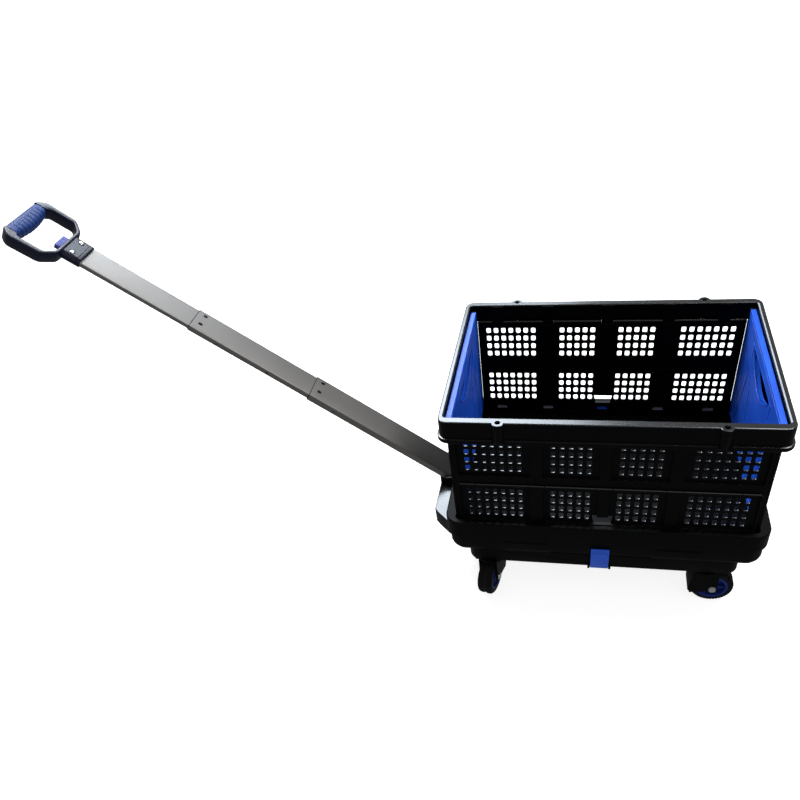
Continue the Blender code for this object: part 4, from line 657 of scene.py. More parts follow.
def build_long_sides():
    for half, upper in (("lower", False), ("upper", True)):
        rear = side_half(upper)
        front = [mirrored(mesh, "y") for mesh in rear]
        for side, meshes in (("front", front), ("rear", rear)):
            body = f"{side}_{half}_side"
            label = f"{side}_{half}"
            piece(f"{label}_wall", meshes[0], "black", body, (f"{label}_panel",), 0.5)
            piece(f"{label}_grille", meshes[1], "rail", body)
            piece(f"{label}_hinge", meshes[2], "rail", body)


# Top frame


FRAME_HALF = (260, 180)
FRAME_CORNER = 16
FRAME_TOP = 253
FRAME_FOOT = 213
# Growth of the outline and height, from below
FRAME_RINGS = (
    (3.0, FRAME_FOOT),
    (3.5, FRAME_FOOT + 1),
    (3.5, FRAME_FOOT + 6.5),
    (3.0, FRAME_FOOT + 7.6),
    (2.0, FRAME_FOOT + 8),
    (0.6, FRAME_FOOT + 8.2),
    (0.3, FRAME_FOOT + 9.2),
    (0, FRAME_TOP - 2.2),
    (-0.3, FRAME_TOP - 1.2),
    (-0.9, FRAME_TOP - 0.4),
    (-1.9, FRAME_TOP),
)
# Half sizes, corner radius and height of the opening, from below
OPENING = (
    (250.9, 166.4, 5, FRAME_FOOT - 1),
    (250.9, 166.4, 5, FRAME_TOP - 1.3),
    (251.2, 166.7, 5.3, FRAME_TOP - 0.8),
    (253.6, 168.0, 6.5, FRAME_TOP + 0.1),
)
BOSSES = [(x, side * 177.5) for x in (-165, 165) for side in SIDES]
# Depth under the top and radius, from below
BOSS_PROFILE = ((40, 7), (24, 9), (1.4, 10), (0.4, 9.6), (0.0, 8.8))
HOLE_PROFILE = ((41, 3.4), (2.2, 3.4), (0.2, 4.6), (-1, 4.8))
POST_RADIUS = 6
POST_FOOT = FRAME_TOP - 24
BOSS_GAP = 10.2  # half width of the gap in the foot band at a boss
FRAME_WALL = 2.5
# The groove under the top lies between the wall and an inner lip
FRAME_LIP = (252.9, 168.4, 8)
LIP_SPAN = (FRAME_TOP - 28, FRAME_TOP - 3)
FLAT = 14  # sharpest angle in degrees that still shades smooth on broad flat faces
LUG_HALF = 10.3
LUG_RADIUS = 3.2


def under_top(profile, middle, sides):
    return turned([(FRAME_TOP - drop, radius) for drop, radius in profile], "z", middle, sides)


def build_frame():
    half_x, half_y = FRAME_HALF
    top, foot = FRAME_TOP, FRAME_FOOT
    layers = []
    for grow, z in FRAME_RINGS:
        layers.append((rounded(half_x + grow, half_y + grow, FRAME_CORNER + grow, 10), z))
    body = layered(layers)
    gaps = []
    for x, y in BOSSES:
        side = math.copysign(1, y)
        gap_y = (side * (half_y + 0.05), side * (half_y + 5))
        gaps.append(block(around(x, BOSS_GAP), gap_y, (foot - 1, foot + 9.5)))
    body = cut(body, *gaps)
    body = union(body, *[under_top(BOSS_PROFILE, middle, 28) for middle in BOSSES])
    body = cut(body, layered([(rounded(*sizes), z) for *sizes, z in OPENING]))
    outer = rounded(half_x - FRAME_WALL, half_y - FRAME_WALL, FRAME_CORNER - FRAME_WALL)
    lip_foot, lip_top = LIP_SPAN
    low = prism(outer, "z", foot - 1, lip_foot)
    groove = union(ring_prism(outer, rounded(*FRAME_LIP), "z", lip_foot - 0.5, lip_top), low)
    posts = [prism(circle(middle, POST_RADIUS, 20), "z", POST_FOOT, top) for middle in BOSSES]
    body = cut(body, cut(groove, *posts))
    body = cut(body, *[under_top(HOLE_PROFILE, middle, 20) for middle in BOSSES])
    piece("frame_rail", body, "rail", "top_rim", ("top_frame",), sharp=FLAT)
    lugs = []
    for side in SIDES:
        middle = side * FOLD_Y
        outline = half_circle((middle, HEAD_Z), LUG_RADIUS)
        outline += [(middle + LUG_RADIUS, top - 2), (middle - LUG_RADIUS, top - 2)]
        for x in LUG_X:
            lugs.append(prism(outline, "x", *around(x, LUG_HALF)))
    piece("frame_lugs", gathered(lugs), "black", "top_rim")


# End walls


LINER_FACE = 240.5
LINER_THICK = 2.7
LINER_HALF = 158.2
LINER_FOOT = 16
LINER_TOP = 241.3
WALL_TOP = 244
WALL_BACK = 249.6
RIB_RISE = 0.7  # the folded wall lies 0.8 mm over the floor
# Growth and depth of the lip round the hand hole
LIP_SECTION = ((0.0, 4.0), (0.0, 0.3), (0.9, -0.7), (2.4, -0.7), (4.6, -0.1), (5.4, 0.4))
HAND_HALF = 72
HAND_TOP = 219
HAND_DROP = 38
HAND_STEP = 6
TAB_Y = (79, 88)
TAB_Z = (196, 222)
CROSS_RIB = (154, 5)  # half length, half width
CROSS_RIB_Z = (24, 234.5)
SEAL_X = (239.8, 249.6)
SEAL_Y = (157.8, 164.2)
STUD_PITCH = (5.2, 5.0)
STUD_SIZE = (1.35, 0.7)  # half width, height
STUD_START = 34
STUD_ROWS = 36
STUD_COLUMNS = 30  # on each side of the middle
STUD_LIMIT = (141, 214)
HAND_FIELD = (84, 160)  # no studs nearer to the middle and above this height
# Ribs of one half of a liner: two ends in y and z, half width
RIBS = (
    (((26, 32), (58, 150)), 4.0),
    (((58, 150), (84, 172)), 4.0),
    (((120, 32), (84, 172)), 5.0),
    (((84, 172), (140, 222)), 5.0),
    (((150, 24), (150, 234)), 5.0),
)


def hand_outline(grow, steps=24):
    """Straight top edge and a curved lower edge."""
    half, top, drop = HAND_HALF + grow, HAND_TOP + grow, HAND_DROP + 2 * grow
    curve = []
    for i in range(1, steps):
        sag = (drop - HAND_STEP) * math.sin(math.pi * i / steps) ** 0.8
        curve.append((-half + 2 * half * i / steps, top - HAND_STEP - sag))
    return [(half, top), (-half, top), (-half, top - HAND_STEP), *curve, (half, top - HAND_STEP)]


def thick_line(points, half_width):
    """Outline of a band of the half width along a line of two points."""
    first, second = (Vector(point) for point in points)
    side = (second - first).normalized().orthogonal() * half_width
    return [tuple(first + side), tuple(second + side), tuple(second - side), tuple(first - side)]


def build_liner():
    """Right-hand liner: sheet with flange, lip round the hand hole, ribs and studs."""
    face, back = LINER_FACE, LINER_FACE + LINER_THICK
    foot = [(face, LINER_FOOT), (back, LINER_FOOT), (back, LINER_TOP), (WALL_BACK, LINER_TOP)]
    sheet = prism(foot + [(WALL_BACK, WALL_TOP), (face, WALL_TOP)], "y", -LINER_HALF, LINER_HALF)
    collar = prism(hand_outline(2.2), "x", face + 1, WALL_BACK - 0.4)
    sheet = cut(union(sheet, collar), prism(hand_outline(0), "x", face - 2, WALL_BACK + 1))
    lip = [(hand_outline(grow), face + depth) for grow, depth in LIP_SECTION]
    ribs = [layered(lip, "x", closed=True)]
    low, high = face - RIB_RISE, face + 0.4
    for side in SIDES:
        for points, half_width in RIBS:
            line = [(side * y, z) for y, z in points]
            ribs.append(prism(thick_line(line, half_width), "x", low, high))
        ribs.append(block((low, high), [side * y for y in TAB_Y], TAB_Z))
    half_length, half_width = CROSS_RIB
    for z in CROSS_RIB_Z:
        ribs.append(block((low, high), around(0, half_length), around(z, half_width)))
    studs = []
    for row in range(STUD_ROWS):
        z = STUD_START + row * STUD_PITCH[1]
        for column in range(-STUD_COLUMNS, STUD_COLUMNS + 1):
            y = (column + (0.5 if row % 2 else 0.0)) * STUD_PITCH[0]
            if free_for_stud(y, z):
                studs.append((y, z))
    return sheet, gathered(ribs), stud_mesh(studs, face)


def free_for_stud(y, z):
    """True on the plain fields between the ribs, clear of the hand hole."""
    place = Vector((abs(y), z))
    if place.x > STUD_LIMIT[0] or place.y > STUD_LIMIT[1]:
        return False
    if place.x < HAND_FIELD[0] and place.y > HAND_FIELD[1]:
        return False
    for (start, end), half_width in RIBS:
        first, second = Vector(start), Vector(end)
        along = second - first
        share = min(1.0, max(0.0, (place - first).dot(along) / along.length_squared))
        if (place - first - along * share).length < half_width + 4:
            return False
    return True


def stud_mesh(places, face):
    """Low four-sided studs on the liner's face."""
    bm = bmesh.new()
    half, height = STUD_SIZE
    for y, z in places:
        corners = ((half, 0), (0, half), (-half, 0), (0, -half))
        base = [bm.verts.new((face + 0.05, y + a, z + b)) for a, b in corners]
        tip = bm.verts.new((face - height, y, z))
        for i in range(4):
            bm.faces.new((base[i], base[(i + 1) % 4], tip))
        bm.faces.new(base)
    return to_mesh(bm)


def build_end_walls():
    strips = [block(SEAL_X, [side * y for y in SEAL_Y], (LINER_FOOT, WALL_TOP)) for side in SIDES]
    right = (*build_liner(), gathered(strips))
    left = [mirrored(mesh, "x") for mesh in right]
    for side, (sheet, ribs, studs, seals) in (("right", right), ("left", left)):
        body = f"{side}_end_wall"
        piece(f"{side}_liner", sheet, "blue", body, (f"{side}_wall_liner",), 0.5)
        piece(f"{side}_liner_ribs", ribs, "blue", body, (), 0.5)
        piece(f"{side}_liner_studs", studs, "blue", body, (), sharp=20)
        piece(f"{side}_corner_strips", seals, "shell", body, (), 0.6)


# Tray


RIM_HALF = (269, 182)
TRAY_HALF = (265, 178.5)
TRAY_FOOT = -47.3
RIM_FOOT = -7
RIM_TOP = 29.4
LEDGE_Z = 9.8
POCKET = (251, 172.4, 8)  # half sizes and corner radius over the ledge
WELL = (251, 164.3, 2)
FLOOR_PANEL = (230, 150, 8)
UNDERSIDE = (247, 160.3, 4)
LATCH_BAY = (86, (158, 184), 9)  # half length, span in y, height
WALL_LUG = (243.6, 3.9, 2.9, 7)  # place in x and z, radius, half length
WALL_LUG_Y = (-110, 0, 110)
HINGE_BLOCK = (9.8, 16)  # half width and top of the blocks round the rods
BLOCK_BACK = 172.6
# Plates on the hinge blocks: painted light, standing for the light seen through the openings by the
# lugs
LIT_OPENING_PLATE = (164.9, 1.2)  # inner face and thickness
CHEEKS = ((-11.5, -9.9), (9.9, 11.5))  # spans beside a lug
CROSS_RIBS = (-200, -70, 70, 200)
# Inset from the body in x and y, corner radius and height over the foot, from below
TRAY_SHAPE = (
    (16, 12, 16, 0.0),
    (10, 7, 20, 1.5),
    (5, 3.4, 23, 5.0),
    (1.5, 1, 25, 10.0),
    (0, 0, 26, 15.0),
    (0, 0, 26, RIM_FOOT - TRAY_FOOT - 1),
    (-0.6, -0.6, 26.6, RIM_FOOT - TRAY_FOOT),
)
# Inset from the rim, corner radius and height
RIM_SHAPE = (
    (0.6, 27.6, RIM_FOOT + 1),
    (0, 28, RIM_FOOT + 2),
    (0, 28, RIM_TOP - 2.4),
    (0.6, 27.4, RIM_TOP - 0.9),
    (2, 26, RIM_TOP),
)
# Lines moulded in the long faces: from, to and height
FACE_LINES = ((91, 166, -18.7), (-166, -91, -18.7), (229, 250, -7.5), (-250, -229, -7.5))
LINE_Y = (177, 179.4)
LINE_HALF = 0.6


def tray_solid():
    """The tray's outside, from its rounded foot to the rim."""
    body_x, body_y = TRAY_HALF
    rim_x, rim_y = RIM_HALF
    layers = []
    for in_x, in_y, radius, rise in TRAY_SHAPE:
        layers.append((rounded(body_x - in_x, body_y - in_y, radius, 10), TRAY_FOOT + rise))
    for inset, radius, z in RIM_SHAPE:
        layers.append((rounded(rim_x - inset, rim_y - inset, radius, 10), z))
    return layered(layers)


def tray_hollow():
    """Space under the tray's floor, inside its side walls."""
    body_x, body_y = TRAY_HALF
    layers = []
    for inset, level in ((19, -1.0), (19, 4.0), (3, 16.0)):
        line = rounded(body_x - inset, body_y - min(inset, 15), 26 - inset * 0.7, 10)
        layers.append((line, TRAY_FOOT + level))
    layers.append((layers[-1][0], RIM_FOOT - 3))
    return layered(layers)


def build_tray():
    well = rounded(*WELL)
    cuts = [
        prism(rounded(*POCKET), "z", LEDGE_Z, RIM_TOP + 1),
        prism(well, "z", 0.0, LEDGE_Z + 1),
        ring_prism(well, rounded(*FLOOR_PANEL), "z", -0.6, 1),
        tray_hollow(),
        prism(rounded(*UNDERSIDE), "z", RIM_FOOT - 6, -3),
    ]
    bay_half, bay_y, bay_height = LATCH_BAY
    for side in SIDES:
        span_y = [side * y for y in bay_y]
        cuts.append(block(around(0, bay_half), span_y, (TRAY_FOOT - 1, TRAY_FOOT + bay_height)))
    piece("tray_body", cut(tray_solid(), *cuts), "shell", "dolly", ("tray",), sharp=FLAT)
    half, top = HINGE_BLOCK
    pad_inner, pad_thick = LIT_OPENING_PLATE
    blocks, pads, blue_lit_plates = [], [], []
    for side in SIDES:
        for x in LUG_X:
            span_x, back = around(x, half), side * BLOCK_BACK
            blocks.append(block(span_x, (side * SIDE_INNER, back), (LEDGE_Z - 1, top - 1)))
            plate = block(span_x, (side * pad_inner, back), (top - pad_thick, top))
            # Painted light: pale grey plates at the outer lugs, a blue painted reflection at the middle
            # lug
            (pads if x else blue_lit_plates).append(plate)
    piece("hinge_blocks", gathered(blocks), "black", "dolly")
    # Pale plates painted where light shows through the openings by the lugs
    piece("hinge_pads", gathered(pads), "pad", "dolly")
    # Blue plates at the middle lug: a painted reflection of the blue latch, seen through the opening
    piece("catch_pads", gathered(blue_lit_plates), "blue", "dolly")
    piece("tray_details", gathered(tray_details()), "shell", "dolly", (), 0.3)


def tray_details():
    """Cross ribs under the floor, hinge cheeks, wall lugs and the lines on the faces."""
    extras = [block(around(x, 1.2), around(0, 166), (TRAY_FOOT + 1, -2)) for x in CROSS_RIBS]
    lug_x, lug_z, lug_radius, lug_half = WALL_LUG
    for side in SIDES:
        middle = side * FOLD_Y
        cheek = half_circle((middle, FOOT_Z), -LUG_RADIUS)
        cheek += [(middle - LUG_RADIUS, 8), (middle + LUG_RADIUS, 8)]
        for x in LUG_X:
            for low, high in CHEEKS:
                extras.append(prism(cheek, "x", x + low, x + high))
        across = side * lug_x
        lug = half_circle((across, lug_z), -lug_radius)
        lug += [(across - lug_radius, -2), (across + lug_radius, -2)]
        for y in WALL_LUG_Y:
            extras.append(prism(lug, "y", *around(y, lug_half)))
        for low, high, z in FACE_LINES:
            extras.append(block((low, high), [side * y for y in LINE_Y], around(z, LINE_HALF)))
    return extras


# Chassis and latches


CHASSIS_HALF = (233, 170.5)
CHASSIS_HOLLOW = (224, 161, 12)
CHASSIS_TOP = -47.6
CHASSIS_FOOT = -79.5
CHASSIS_RIBS = range(-150, 151, 50)
CHASSIS_EDGE = ((3.0, 0.0), (2.0, 0.4), (0.8, 1.6), (0.0, 3.6))  # inset and height over the foot
LATCH_AXIS = (172, -77)
LATCH_BARREL = 2.5
LATCH_HALF = 15.5
LATCH_INNER = 178.9
LATCH_FACE = 182.4
LATCH_BEND = -51
LATCH_TOP = -21
LATCH_HOOK = 3
LATCH_RIDGES = (5, 8, 11)  # under the top
RIDGE_HALF = (12, 0.6)
# Ears beside a latch: place and half width in x, spans in y and z
EAR_X = (18.1, 2)
EAR_Y = (158, 174.7)
EAR_Z = (-79.9, -74)
BAY_Y = (168.8, 172)
TOWER = (27, 20)  # half sizes
CASTER_X = (184, -195)
CASTER_Y = 149


def build_chassis():
    half_x, half_y = CHASSIS_HALF
    layers = []
    for inset, rise in CHASSIS_EDGE:
        layers.append((rounded(half_x - inset, half_y - inset, 20 - inset, 8), CHASSIS_FOOT + rise))
    layers.append((layers[-1][0], CHASSIS_TOP))
    body = cut(layered(layers), prism(rounded(*CHASSIS_HOLLOW), "z", CHASSIS_FOOT - 1, CHASSIS_TOP - 3))
    bay_z = (CHASSIS_FOOT - 1, CHASSIS_FOOT + 6)
    bays = [
        block(around(0, LATCH_HALF + 0.5), [side * y for y in BAY_Y], bay_z) for side in SIDES
    ]
    piece("chassis_body", cut(body, *bays), "shell", "dolly", ("chassis",), sharp=38)
    extras = []
    for x in CASTER_X:
        for y in (-CASTER_Y, CASTER_Y):
            tower_z = (CHASSIS_FOOT, CHASSIS_TOP - 1)
            extras.append(block(around(x, TOWER[0]), around(y, TOWER[1]), tower_z))
    for x in CHASSIS_RIBS:
        extras.append(block(around(x, 1), around(0, 163), (CHASSIS_FOOT + 6, CHASSIS_TOP - 2)))
    for side in SIDES:
        for x in (-EAR_X[0], EAR_X[0]):
            extras.append(block(around(x, EAR_X[1]), [side * y for y in EAR_Y], EAR_Z))
    piece("chassis_details", gathered(extras), "shell", "dolly", (), 0.5)


def latch_outline():
    """Rear latch seen along X: barrel, sloping plate, upright plate and its hook."""
    hook = LATCH_INNER - LATCH_HOOK
    return arc(LATCH_AXIS, LATCH_BARREL, range(15, -211, -15)) + [
        (LATCH_INNER, LATCH_BEND),
        (LATCH_INNER, LATCH_TOP - 7),
        (hook, LATCH_TOP - 6.2),
        (hook, LATCH_TOP - 3.5),
        (LATCH_INNER, LATCH_TOP - 3),
        (LATCH_INNER, LATCH_TOP - 1),
        (LATCH_INNER + 1, LATCH_TOP),
        (LATCH_FACE - 1, LATCH_TOP),
        (LATCH_FACE, LATCH_TOP - 1.5),
        (LATCH_FACE, LATCH_BEND),
    ]


def build_latches():
    meshes = [prism(latch_outline(), "x", -LATCH_HALF, LATCH_HALF)]
    ridge_y = (LATCH_FACE - 0.3, LATCH_FACE + 0.45)
    for drop in LATCH_RIDGES:
        ridge_z = around(LATCH_TOP - drop, RIDGE_HALF[1])
        meshes.append(block(around(0, RIDGE_HALF[0]), ridge_y, ridge_z))
    rear = gathered(meshes)
    for side, mesh in (("front", mirrored(rear, "y")), ("rear", rear)):
        piece(f"{side}_catch_plate", mesh, "blue", f"{side}_catch", (f"{side}_latch",), 0.5)


# Handle: local s runs from the pivot to the grip, t across, n out of its upper face


PIVOT = Vector((-281.9, 0, -12.8))
# Width, thickness and wall, then span and lock holes along s
TUBES = {
    "outer": ((57, 15, 1.3), (-9, 317.1), (263,)),
    "middle": ((53.8, 11.8, 1.2), (252, 556.5), (402, 503)),
    "inner": ((50.8, 8.8, 1.1), (492, 781), ()),
}
TUBE_CORNER = 2.5
TUBE_EDGE = 0.35
SLOT_BACK = 14
SLOT_SHARES = (-0.31, 0.15)  # of the tube's width
SLOT_HALF = (3.6, 3.2)
LOCK_HOLE = 2.3
GUIDE_LENGTH = 20
RING = ((787, -37), (807, -60), (861, -62), (875, -48.5))  # half outline in s and t
RING_OPENING = ((793.8, -34), (807, -50.5), (847, -50.5), (853, -44.5))
# Section of the ring from below: outline, growth and height
RING_SECTION = (
    ("ring", -0.6, -10.2),
    ("ring", 0.0, -9.2),
    ("ring", 0.0, 8.4),
    ("ring", -0.5, 9.7),
    ("ring", -1.6, 10.7),
    ("ring", -2.6, 11.0),
    ("hole", 2.0, 11.0),
    ("hole", 1.0, 10.6),
    ("hole", 0.3, 9.8),
    ("hole", 0.0, 8.6),
    ("hole", 0.0, -9.2),
    ("hole", 1.2, -11.0),
    ("ring", -1.8, -11.0),
)
NECK_SPAN = (756, 790)
NECK_HALF = (27.7, 9)
NECK_CHAMFER = 5.5
# Inset and distance from the neck's mouth
NECK_MOUTH = ((1.2, 0.0), (0.2, 1.0), (0.0, 2.0), (0.0, 4.6), (0.7, 5.2), (0.7, 6.2), (0.0, 6.8))
NECK_GROOVE = (20.6, 0.5, 0.7)  # distance from the middle, half width, depth
RIVET_S = 775
RIVET_T = (-15.5, 15.5)
# Height and radius
RIVET_PAD = ((10, 6.0), (9, 5.6), (8.3, 5.2))
RIVET_PROFILE = ((6.0, 3.9), (9.3, 4.0), (9.9, 3.7), (10.3, 2.6), (10.5, 1.2))
SLEEVE_S = 863.5
SLEEVE_HALF = (11.5, 10.8, 45)  # along s, n and t
SLEEVE_CORE = (5, 5.5, 3)
SLEEVE_SWELL = 6.0
FINGER_PITCH = 9.4
FINGER_DEPTH = 1.6
BUTTON_SPAN = (786.3, 805.8)
BUTTON_HALF = (15.5, 4.4)
# Inset and distance from the button's end
BUTTON_EDGE = ((0, 2), (0.35, 0.8), (1.0, 0.2), (1.9, 0))


def handle_matrix():
    along = (-math.cos(HANDLE_ANGLE), 0, math.sin(HANDLE_ANGLE))
    across = (0, -1, 0)
    normal = (math.sin(HANDLE_ANGLE), 0, math.cos(HANDLE_ANGLE))
    rows = [[along[i], across[i], normal[i], PIVOT[i]] for i in range(3)]
    return Matrix([*rows, [0, 0, 0, 1]])


def handle_piece(name, mesh, finish, body, stands_for=(), sharp=35):
    piece(name, moved(mesh, handle_matrix()), finish, body, stands_for, sharp=sharp)


def section(half_w, half_t, radius):
    return rounded(half_w, half_t, radius, 6)


def tube_mesh(tube, span, holes):
    """Rounded tube with a broken end edge. One with lock holes has stamped slots on top too."""
    width, thick, wall = tube
    start, end = span

    def outline(inset):
        return section(width / 2 - inset, thick / 2 - inset, max(TUBE_CORNER - inset, 0.6))

    layers = (
        (outline(TUBE_EDGE), start),
        (outline(0), start + TUBE_EDGE),
        (outline(0), end - TUBE_EDGE),
        (outline(TUBE_EDGE), end),
        (outline(wall), end),
        (outline(wall), start),
    )
    cuts = []
    if holes:
        half_s, half_t = SLOT_HALF
        span_n = (thick / 2 - wall - 0.2, thick / 2 + 1)
        for share in SLOT_SHARES:
            cuts.append(block(around(end - SLOT_BACK, half_s), around(share * width, half_t), span_n))
    inner = width / 2 - wall - 0.5
    cuts += [prism(circle((s, 0), LOCK_HOLE, 20), "y", inner, width / 2 + 1) for s in holes]
    mesh = layered(layers, "x", closed=True)
    return cut(mesh, *cuts) if cuts else mesh


def guide_mesh(tube, inner_tube, end):
    """Black guide inside the end of a tube, with its rim over the edge."""
    width, thick, wall = tube
    start = end - GUIDE_LENGTH
    half_w, half_t = width / 2 + 0.1, thick / 2 + 0.1
    bore = section(inner_tube[0] / 2 + 0.1, inner_tube[1] / 2 + 0.1, TUBE_CORNER)
    sleeve = section(half_w - wall - 0.2, half_t - wall - 0.2, 1.4)
    rim = section(half_w, half_t, TUBE_CORNER)
    face = section(half_w - 0.4, half_t - 0.4, 2.1)
    layers = (
        (sleeve, start),
        (sleeve, end),
        (rim, end),
        (rim, end + 0.5),
        (face, end + 0.9),
        (bore, end + 0.9),
        (bore, start),
    )
    return layered(layers, "x", closed=True)


def build_tubes():
    for name, (tube, span, holes) in TUBES.items():
        mesh = tube_mesh(tube, span, holes)
        handle_piece(f"tube_{name}", mesh, "aluminium", f"handle_{name}", (f"{name}_tube",))
    for name, inside in (("outer", "middle"), ("middle", "inner")):
        tube, span, _ = TUBES[name]
        guide = guide_mesh(tube, TUBES[inside][0], span[1])
        handle_piece(f"guide_{name}", guide, "tyre", f"handle_{name}")


def symmetric(half):
    """Both halves of an outline given for negative t."""
    return [*half, *((s, -t) for s, t in reversed(half))]


def ring_mesh():
    """D-shaped ring with softened edges, cut down to a core where the sleeve sits."""
    outlines = {"ring": (symmetric(RING), 7), "hole": (symmetric(RING_OPENING), 5)}
    layers = []
    for kind, grow, n in RING_SECTION:
        outline, radius = outlines[kind]
        layers.append((round_corners(offset_outline(outline, grow), radius), n))
    core = rounded(*SLEEVE_CORE, 4, (SLEEVE_S, 0))
    room = rounded(14, 16, 2, 4, (SLEEVE_S, 0))
    half = SLEEVE_HALF[2] + 0.3
    return cut(layered(layers, closed=True), ring_prism(room, core, "y", -half, half))


def neck_mesh():
    """Flat block round the tube's end with cut edges, pads for the rivets and a stepped mouth."""
    half_t, half_n = NECK_HALF

    def outline(inset):
        wide, thick = half_t - inset, half_n - inset
        quarter = [(wide, thick - NECK_CHAMFER), (wide - NECK_CHAMFER, thick)]
        top = quarter + [(-t, n) for t, n in reversed(quarter)]
        return round_corners(top + [(-t, -n) for t, n in top], 1.2, 3)

    start, end = NECK_SPAN
    layers = [(outline(inset), start + along) for inset, along in NECK_MOUTH]
    layers.append((outline(0), end))
    cuts = rivet_places(RIVET_PAD, 32)
    distance, half_width, depth = NECK_GROOVE
    for t in (-distance, distance):
        cuts.append(block((start + 8, end - 5), around(t, half_width), (half_n - depth, half_n + 1)))
    return cut(layered(layers, "x"), *cuts)


def rivet_places(profile, sides):
    """The same turned shape at both ends of both rivets."""
    meshes = []
    for t in RIVET_T:
        for side in SIDES:
            rows = [(side * n, radius) for n, radius in profile]
            meshes.append(turned(rows, "z", (RIVET_S, t), sides))
    return meshes


def sleeve_mesh():
    """Soft sleeve on the far bar: swells inwards, with finger ridges on its inner and upper side."""
    rows, sides = 168, 56
    power = 2 / 3.2
    half_s, half_n, half_length = SLEEVE_HALF
    loops = []
    for row in range(rows + 1):
        place = -1 + 2 * row / rows
        t = place * half_length
        swell = SLEEVE_SWELL * max(0.0, 1 - abs(place) ** 1.9) ** 1.1
        ridge = 0.5 + 0.5 * math.cos(2 * math.pi * t / FINGER_PITCH)
        fade = min(1.0, max(0.0, (0.84 - abs(place)) / 0.08))
        closing = max(0.0, (abs(place) - 0.96) / 0.04)
        loop = []
        for i in range(sides):
            turn = 2 * math.pi * i / sides
            along, up = math.cos(turn), math.sin(turn)
            s = math.copysign(abs(along) ** power, along) * (half_s - closing)
            n = math.copysign(abs(up) ** power, up) * (half_n - closing)
            facing = max(0.0, 0.45 * up - 0.89 * along) ** 1.5
            groove = FINGER_DEPTH * fade * (1 - ridge) ** 3 * facing
            s -= swell * max(0.0, -along)
            shrink = 1 - groove / max(math.hypot(s, n), 1e-3)
            loop.append((SLEEVE_S + s * shrink, t, n * shrink))
        loops.append(loop)
    return skin(loops)


def button_mesh():
    start, end = BUTTON_SPAN
    half_t, half_n = BUTTON_HALF

    def outline(inset):
        return section(half_t - inset, half_n - inset, 2.2 - inset)

    edge = [(outline(inset), end - back) for inset, back in BUTTON_EDGE]
    return layered([(outline(0), start), *edge], "x")


def build_grip():
    rivets = gathered(rivet_places(RIVET_PROFILE, 24))
    handle_piece("grip_ring", ring_mesh(), "navy", "handle_inner", ("grip_frame",))
    handle_piece("grip_neck", neck_mesh(), "navy", "handle_inner", (), sharp=30)
    handle_piece("grip_rivets", rivets, "steel", "handle_inner", ("left_rivet", "right_rivet"))
    handle_piece("sleeve", sleeve_mesh(), "sleeve", "handle_inner", ("grip_sleeve",), sharp=60)
    handle_piece("button_cap", button_mesh(), "button", "button", ("release_button",))


# Handle housing


HOUSING_PLAN = [(-269.6, -138), (-269.6, 138), (-296, 112), (-304, 102), (-304, -102), (-296, -112)]
HOUSING_TOP = -20
HOUSING_FOOT = -54
# Inset and height, from below
HOUSING_EDGE = (
    (4.0, HOUSING_FOOT),
    (1.2, HOUSING_FOOT + 1.2),
    (0.0, HOUSING_FOOT + 4),
    (0.0, HOUSING_TOP - 2.4),
    (0.6, HOUSING_TOP - 0.9),
    (1.8, HOUSING_TOP),
)
WEDGE_X = (-304, -297)
WEDGE_HALF = 28.5
# Spans in x, y and z
HOUSING_HOLLOW = ((-299, -278.6), (-96, 96), (HOUSING_FOOT - 1, HOUSING_TOP - 13))
HANDLE_BAY = ((-296.5, -268.6), (-30, 30), (HOUSING_TOP - 9, HOUSING_TOP + 1))
PIVOT_EARS = [((-294.4, -271), (low, low + 6), (-24, -2)) for low in (30.2, -36.2)]
TONGUE = ((-274.6, -233.3), (-60, 60), (-66.5, -48.6))


def underside(x):
    """Height just under the resting outer tube."""
    half_thick = TUBES["outer"][0][1] / 2
    return PIVOT.z + (PIVOT.x - x) * math.tan(HANDLE_ANGLE) - half_thick / math.cos(HANDLE_ANGLE) - 0.4


def build_housing():
    """Housing of the handle's pivot with its ears, wedge and tongue."""
    top = HOUSING_TOP - 2
    layers = []
    for inset, level in HOUSING_EDGE:
        layers.append((round_corners(offset_outline(HOUSING_PLAN, -inset), 4, 4), level))
    body = cut(layered(layers), block(*HOUSING_HOLLOW), block(*HANDLE_BAY))
    piece("housing_body", body, "rail", "dolly", ("handle_housing",), sharp=FLAT)
    outer, inner = WEDGE_X
    wedge = [(outer, top), (inner, top), (inner, underside(inner)), (outer, underside(outer))]
    extras = [prism(wedge, "y", -WEDGE_HALF, WEDGE_HALF)]
    extras += [block(*spans) for spans in (*PIVOT_EARS, TONGUE)]
    piece("housing_details", gathered(extras), "shell", "dolly", (), 0.8)


# Casters: built with the kingpin at x = y = 0 and the wheel trailing to +X


WHEEL_Z = -127.2
TRAIL = 14
CROWN_TOP = -82.1
HEADINGS = {"right": 0, "left": -103}  # degrees about the kingpin
BLOCKS = 40
GROOVE_DEPTH = 1.4
GROOVE_SHARES = ((0.0, 0.0), (0.62, 0.0), (0.70, 1.0), (0.92, 1.0))  # share of a block, depth
# Half a tyre section outside the centre groove: place across and radius, then share of a block's groove
TYRE_SECTION = (
    (3.0, 35.9, 0.0),
    (3.4, 37.0, 0.6),
    (8.0, 37.0, 1.0),
    (10.6, 36.2, 1.0),
    (12.6, 34.6, 1.0),
    (13.6, 32.8, 0.6),
    (14.0, 31.0, 0.0),
    (14.0, 28.0, 0.0),
)
